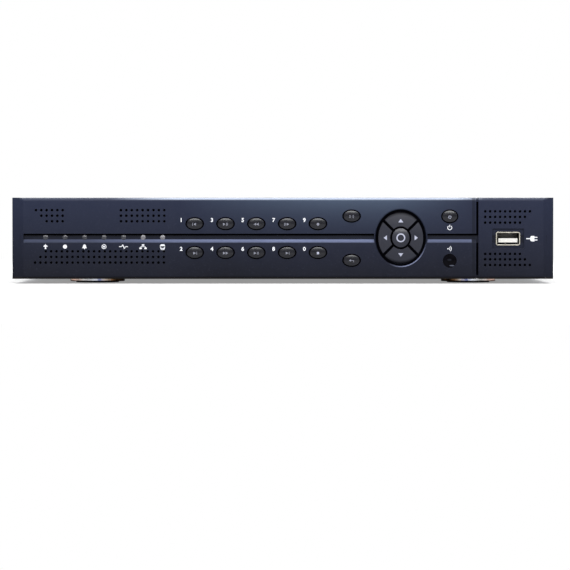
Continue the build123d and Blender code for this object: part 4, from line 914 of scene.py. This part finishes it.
def key_prints():
    for name, mark in KEY_MARKS.items():
        centre = middle(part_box(name)) / MM
        ink = INK_BRIGHT if name in BRIGHT_KEYS else INK_KEY
        shapes = moved(mark(), centre.x, centre.z - 0.3, 1.9)
        print_marks(f"{name}_print", shapes, on_key(name), ink, name)
    ok_ring = arc(PAD.x / MM, PAD.z / MM, 2.2, 0.7, 0, 360, 28)
    print_marks("key_ok_print", ok_ring, on_key("key_ok"), INK_BRIGHT, "key_ok")
    for name in ARROWS:
        centre = middle(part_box(name))
        turn = math.atan2(centre.z - PAD.z, centre.x - PAD.x)
        shapes = []
        for shape in play_mark():
            points = []
            for a, b in shape:
                a, b = 2.6 * a, 3.4 * b
                points.append((a * math.cos(turn) - b * math.sin(turn), a * math.sin(turn) + b * math.cos(turn)))
            shapes.append(points)
        shapes = moved(shapes, centre.x / MM, centre.z / MM)
        print_marks(f"{name}_print", shapes, on_key(name), INK_BRIGHT, name)


# ---- prints on the rear panel ---------------------------------------------------------------------
BAND_LOW = 5.7
BAND_HIGH = 9.4
FRAME_TOP = 41.6
LINE = 0.35
NUMBER_SIZE = 2.6


def group_frame(left, right, lines, bands, radius=2.2):
    """Rounded line round a group of jacks with a black band along its foot."""
    lines += outline(right, BAND_LOW, left, FRAME_TOP, (radius,) * 4, LINE)
    bands += rounded(right, BAND_LOW, left, BAND_HIGH, (radius, radius, 0, 0))
    return (left + right) / 2, (BAND_LOW + BAND_HIGH) / 2


def label(u, v, width, height, bands, radius=0.3):
    bands += rounded(u - width / 2, v - height / 2, u + width / 2, v + height / 2, (radius,) * 4)


def rear_prints():
    lines = []
    bands = []
    marks = []
    first = CAMERA_JACKS[-1] / MM
    last = CAMERA_JACKS[0] / MM

    # Camera jacks: channel numbers, frame and band.
    columns = sorted({round(c.x / MM, 1) for c in CAMERA_JACKS})
    rows = sorted({round(c.z / MM, 1) for c in CAMERA_JACKS})
    for column, x in enumerate(columns):
        for row, z in enumerate(rows):
            number = digit_shapes(str(2 * column + 2 - row), NUMBER_SIZE, 0.09)
            lines += behind(number, x - 7.9, z - 7.7)
    mark_x, mark_z = group_frame(first.x + 7.7, last.x - 9.2, lines, bands)
    marks += behind(camera_mark(), mark_x + 2.6, mark_z, 2.6)
    marks += behind(arrow_right_mark(), mark_x - 2.2, mark_z, 2.4)

    # Output group: blank plug above, one jack below.
    plug = middle(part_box("blank_plug")) / MM
    mark_x, mark_z = group_frame(plug.x + 8.2, plug.x - 8.3, lines, bands, 3.0)
    marks += behind(speaker_mark(), mark_x + 1.8, mark_z, 2.2)
    marks += behind(arrow_right_mark(), mark_x - 2.0, mark_z, 2.2)

    # Row of four audio jacks with the band below, and the corner line beside them.
    row_jacks = [c / MM for c in AUDIO_JACKS if c.x > 0.098]
    row_z = row_jacks[0].z
    for place, jack in enumerate(row_jacks):
        lines += behind(digit_shapes(str(place + 2), NUMBER_SIZE, 0.05), jack.x - 0.8, row_z - 7.3)
    band_right = row_jacks[0].x - 7.6
    band_left = row_jacks[-1].x + 2.6
    band_z = row_z - 10.3
    bands += rounded(band_right, band_z - 1.8, band_left, band_z + 1.8, (0.9, 0.9, 0.2, 0.2))
    band_mid = (band_left + band_right) / 2
    marks += behind(speaker_mark(), band_mid + 2.0, band_z, 2.5)
    marks += behind(arrow_right_mark(), band_mid - 2.4, band_z, 2.3)
    for end, sign in ((band_left - 2.6, -1), (band_right + 2.6, 1)):
        marks += path([(end + 2.2 * sign, band_z + 1.0), (end, band_z + 1.0), (end - 1.3 * sign, band_z - 0.9)], 0.25)
    lines += path([(band_right, band_z + 1.8), (band_right, 44.8), (band_right + 1.2, 46.0), (band_left, 46.0)], 0.25)

    # Alarm header: numbered strip above, bell strip below.
    headers = sorted(solids_of("terminal_blocks"), key=lambda b: b[1].x - b[0].x)
    data, alarm = headers
    low = alarm[0] / MM
    high = alarm[1] / MM
    strip_z = high.z + 2.9
    centre = (low + high) / 2
    label(centre.x, strip_z, high.x - low.x + 0.6, 3.0, bands)
    label(centre.x, low.z - 2.2, high.x - low.x + 0.6, 2.8, bands)
    ways = 8
    pitch = (high.x - low.x) / ways
    for way in range(ways):
        x = low.x + (way + 0.5) * pitch
        marks += behind(digit_shapes(str(way + 1), 2.5, 0.05), x, strip_z)
        marks += rectangle(x, strip_z - 1.9, pitch * 0.98, 0.3)
    marks += rectangle(centre.x, low.z - 0.55, high.x - low.x, 0.3)
    marks += behind(bell_mark(), centre.x + 2.0, low.z - 2.2, 2.0)
    marks += behind(both_ways_mark(), centre.x - 2.0, low.z - 2.2, 2.3)

    # Monitor and screen ports.
    port = middle(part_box("av_port_shell")) / MM
    label(port.x + 0.4, port.z - 6.9, 11.6, 4.2, bands)
    marks += behind(screen_mark(), port.x + 1.8, port.z - 6.9, 2.6)
    marks += behind(arrow_right_mark(), port.x - 2.2, port.z - 6.9, 2.4)
    monitor = middle(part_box("monitor_port_insert")) / MM
    label(monitor.x + 1.0, monitor.z - 6.9, 9.1, 2.7, bands)
    marks += behind(screen_mark(), monitor.x + 1.0, monitor.z - 6.9, 2.0)

    # Network and USB stack: black borders, label below, network mark beside it.
    stack_low, stack_high = [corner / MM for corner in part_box("lan_usb_shell")]
    stack_mid = (stack_low + stack_high) / 2
    bands += rounded(stack_high.x, 5.9, stack_high.x + 0.7, stack_high.z, (0, 0, 0, 0))
    bands += rounded(stack_low.x - 1.2, 5.9, stack_low.x, stack_high.z, (0, 0, 0, 0))
    bands += rounded(stack_low.x - 1.2, 5.9, stack_high.x + 0.7, stack_low.z, (0.3,) * 4)
    marks += behind(plug_mark(), stack_mid.x, (5.9 + stack_low.z) / 2, 3.4)
    lines += behind(tree_mark(), stack_high.x + 4.8, stack_high.z - 1.6, 3.4)

    # Audio pair beside the stack.
    pair = [c / MM for c in AUDIO_JACKS if c.x < -0.098]
    mark_x, mark_z = group_frame(pair[0].x + 6.1, pair[0].x - 6.5, lines, bands)
    lines += behind(digit_shapes("1", NUMBER_SIZE, 0.05), pair[0].x, FRAME_TOP - 1.9)
    marks += behind(speaker_mark(), mark_x + 1.6, mark_z, 2.2)
    marks += behind(arrow_right_mark(), mark_x - 2.2, mark_z, 2.2)

    # Power inlet, data header and ground.
    inlet_low, inlet_high = [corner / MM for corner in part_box("dc_jack")]
    inlet_x = (inlet_low.x + inlet_high.x) / 2
    label(inlet_x + 0.4, inlet_high.z + 2.5, 9.1, 3.1, bands)
    marks += behind(direct_mark(), inlet_x + 2.5, inlet_high.z + 2.5, 2.0)
    marks += behind(digit_shapes("12", 2.7, 0.08), inlet_x - 1.7, inlet_high.z + 2.5)
    box_top = inlet_low.z - 0.7
    lines += outline(inlet_low.x, BAND_LOW, inlet_high.x, box_top, (0.2,) * 4, 0.25)
    box_mid = (BAND_LOW + box_top) / 2
    lines += behind(disc(0, 0, 0.5) + arc(0, 0, 1.05, 0.3, 40, 320), inlet_x, box_mid)
    lines += strip(inlet_x - 3.0, box_mid, inlet_x - 1.5, box_mid, 0.3)
    lines += strip(inlet_x + 1.0, box_mid, inlet_x + 3.0, box_mid, 0.3)
    data_mid = middle(data) / MM
    label(data_mid.x, (BAND_LOW + box_top) / 2, 8.5, box_top - BAND_LOW, bands)
    marks += behind(both_ways_mark(), data_mid.x, (BAND_LOW + box_top) / 2, 3.4)
    for way, side in ((1, 1), (2, -1)):
        lines += behind(digit_shapes(str(way), 1.9, 0.03), data_mid.x + 2.4 * side, data[1].z / MM + 1.9)
    ground = middle(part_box("ground_screw")) / MM
    lines += behind(earth_mark(), ground.x + 0.5, ground.z - 6.9, 2.2)

    print_marks("rear_line_prints", lines, on_panel, INK_NAVY)
    print_marks("rear_band_prints", bands, on_panel, INK_BLACK)
    print_marks("rear_white_prints", marks, on_band, INK_WHITE)


# ---- stage, light and camera ------------------------------------------------------------------------
HORIZON_LIGHT = 0.26
ZENITH_LIGHT = 1.0
FLOOR_REACH = 12.0
SHADOW_REACH = (0.30, 0.75)
SHADOW_FILL = 0.3


def floor():
    """Pale floor that fades to the plain white background away from the recorder."""
    reach = FLOOR_REACH
    corners = [(-reach, -reach, 0), (reach, -reach, 0), (reach, reach, 0), (-reach, reach, 0)]
    data = bpy.data.meshes.new("floor")
    data.from_pydata(corners, [], [(0, 1, 2, 3)])
    made = bpy.data.objects.new("floor", data)
    bpy.context.scene.collection.objects.link(made)
    paint = Paint("floor_paper")
    seen = paint.node("ShaderNodeLightPath").outputs["Is Camera Ray"]
    paper = paint.blend(paint.noise(400.0), rgb(0.84, 0.84, 0.84), rgb(0.88, 0.88, 0.88))
    paper = paint.blend(seen, rgb(0.42, 0.42, 0.42), paper)
    paint.finish(paper, 0.8, paint.bump(paint.noise(3.0), 0.05))
    distance = paint.node("ShaderNodeVectorMath", {0: paint.point}, operation="LENGTH").outputs["Value"]
    away = paint.math("MULTIPLY", paint.ramp(distance, *SHADOW_REACH, SHADOW_FILL, 1.0), seen)
    glow = paint.node("ShaderNodeEmission", {"Color": rgb(1.0, 1.0, 1.0)}).outputs[0]
    mixed = paint.node("ShaderNodeMixShader", {0: away, 1: paint.shader.outputs[0], 2: glow})
    output = paint.tree.nodes["Material Output"]
    paint.tree.links.new(mixed.outputs[0], output.inputs["Surface"])
    data.materials.append(paint.material)


def sky():
    """White to the camera; soft light, brighter overhead, to everything else."""
    world = bpy.data.worlds.new("studio_world")
    bpy.context.scene.world = world
    world.use_nodes = True
    tree = world.node_tree
    background = tree.nodes["Background"]
    coords = tree.nodes.new("ShaderNodeTexCoord")
    split = tree.nodes.new("ShaderNodeSeparateXYZ")
    tree.links.new(coords.outputs["Generated"], split.inputs[0])
    lift = tree.nodes.new("ShaderNodeMapRange")
    tree.links.new(split.outputs["Z"], lift.inputs["Value"])
    lift.inputs["From Min"].default_value = 0.0
    lift.inputs["From Max"].default_value = 0.8
    lift.inputs["To Min"].default_value = HORIZON_LIGHT
    lift.inputs["To Max"].default_value = ZENITH_LIGHT
    rays = tree.nodes.new("ShaderNodeLightPath")
    seen = tree.nodes.new("ShaderNodeMix")
    seen.data_type = "FLOAT"
    tree.links.new(rays.outputs["Is Camera Ray"], seen.inputs[0])
    tree.links.new(lift.outputs[0], seen.inputs[2])
    seen.inputs[3].default_value = 1.0
    tree.links.new(seen.outputs[0], background.inputs["Strength"])
    background.inputs["Color"].default_value = rgb(1.0, 1.0, 1.0)


def soft_light(name, place, aim, size, power):
    data = bpy.data.lights.new(name, "AREA")
    data.shape = "RECTANGLE"
    data.size = size[0]
    data.size_y = size[1]
    data.energy = power
    lamp = bpy.data.objects.new(name, data)
    lamp.location = place
    lamp.rotation_euler = (Vector(aim) - Vector(place)).to_track_quat("-Z", "Y").to_euler()
    bpy.context.scene.collection.objects.link(lamp)


def lights():
    """A box overhead and a long soft strip above each long side, so domes catch an arc of it."""
    centre = (0.0, 0.0, 0.02)
    soft_light("top_box", (0.0, -0.1, 1.4), centre, (1.6, 1.0), 16.0)
    soft_light("front_strip", (0.0, -1.7, 0.82), centre, (2.8, 0.3), 24.0)
    soft_light("back_strip", (0.0, 1.7, 1.05), centre, (2.8, 0.35), 26.0)


IMAGE_SIZE = 570
SPAN = 0.3281
CAMERA_REACH = 1.8
CAMERA_LIFT = 0.6
OBJECT_ROW = 238.3
OBJECT_COLUMN = 282.8


def camera():
    """Straight-on front view; the recorder stands a little above the middle of the picture."""
    data = bpy.data.cameras.new("camera")
    made = bpy.data.objects.new("camera", data)
    bpy.context.scene.collection.objects.link(made)
    data.sensor_width = 36.0
    data.lens = data.sensor_width * CAMERA_REACH / SPAN
    data.clip_start = 0.05
    data.clip_end = 60.0
    centre_z = (FASCIA_LOW.z + FASCIA_HIGH.z) / 2
    aside = (IMAGE_SIZE / 2 - OBJECT_COLUMN) / IMAGE_SIZE * SPAN
    below = (IMAGE_SIZE / 2 - OBJECT_ROW) / IMAGE_SIZE * SPAN
    height = centre_z + CAMERA_REACH * math.tan(math.radians(CAMERA_LIFT))
    place = Vector((aside, FACE_Y - CAMERA_REACH, height))
    aim = Vector((aside, FACE_Y, centre_z - below))
    made.location = place
    made.rotation_euler = (aim - place).to_track_quat("-Z", "Y").to_euler()
    bpy.context.scene.camera = made


fascia_prints()
key_prints()
rear_prints()
floor()
sky()
lights()
camera()
bpy.context.scene.view_settings.view_transform = "Standard"
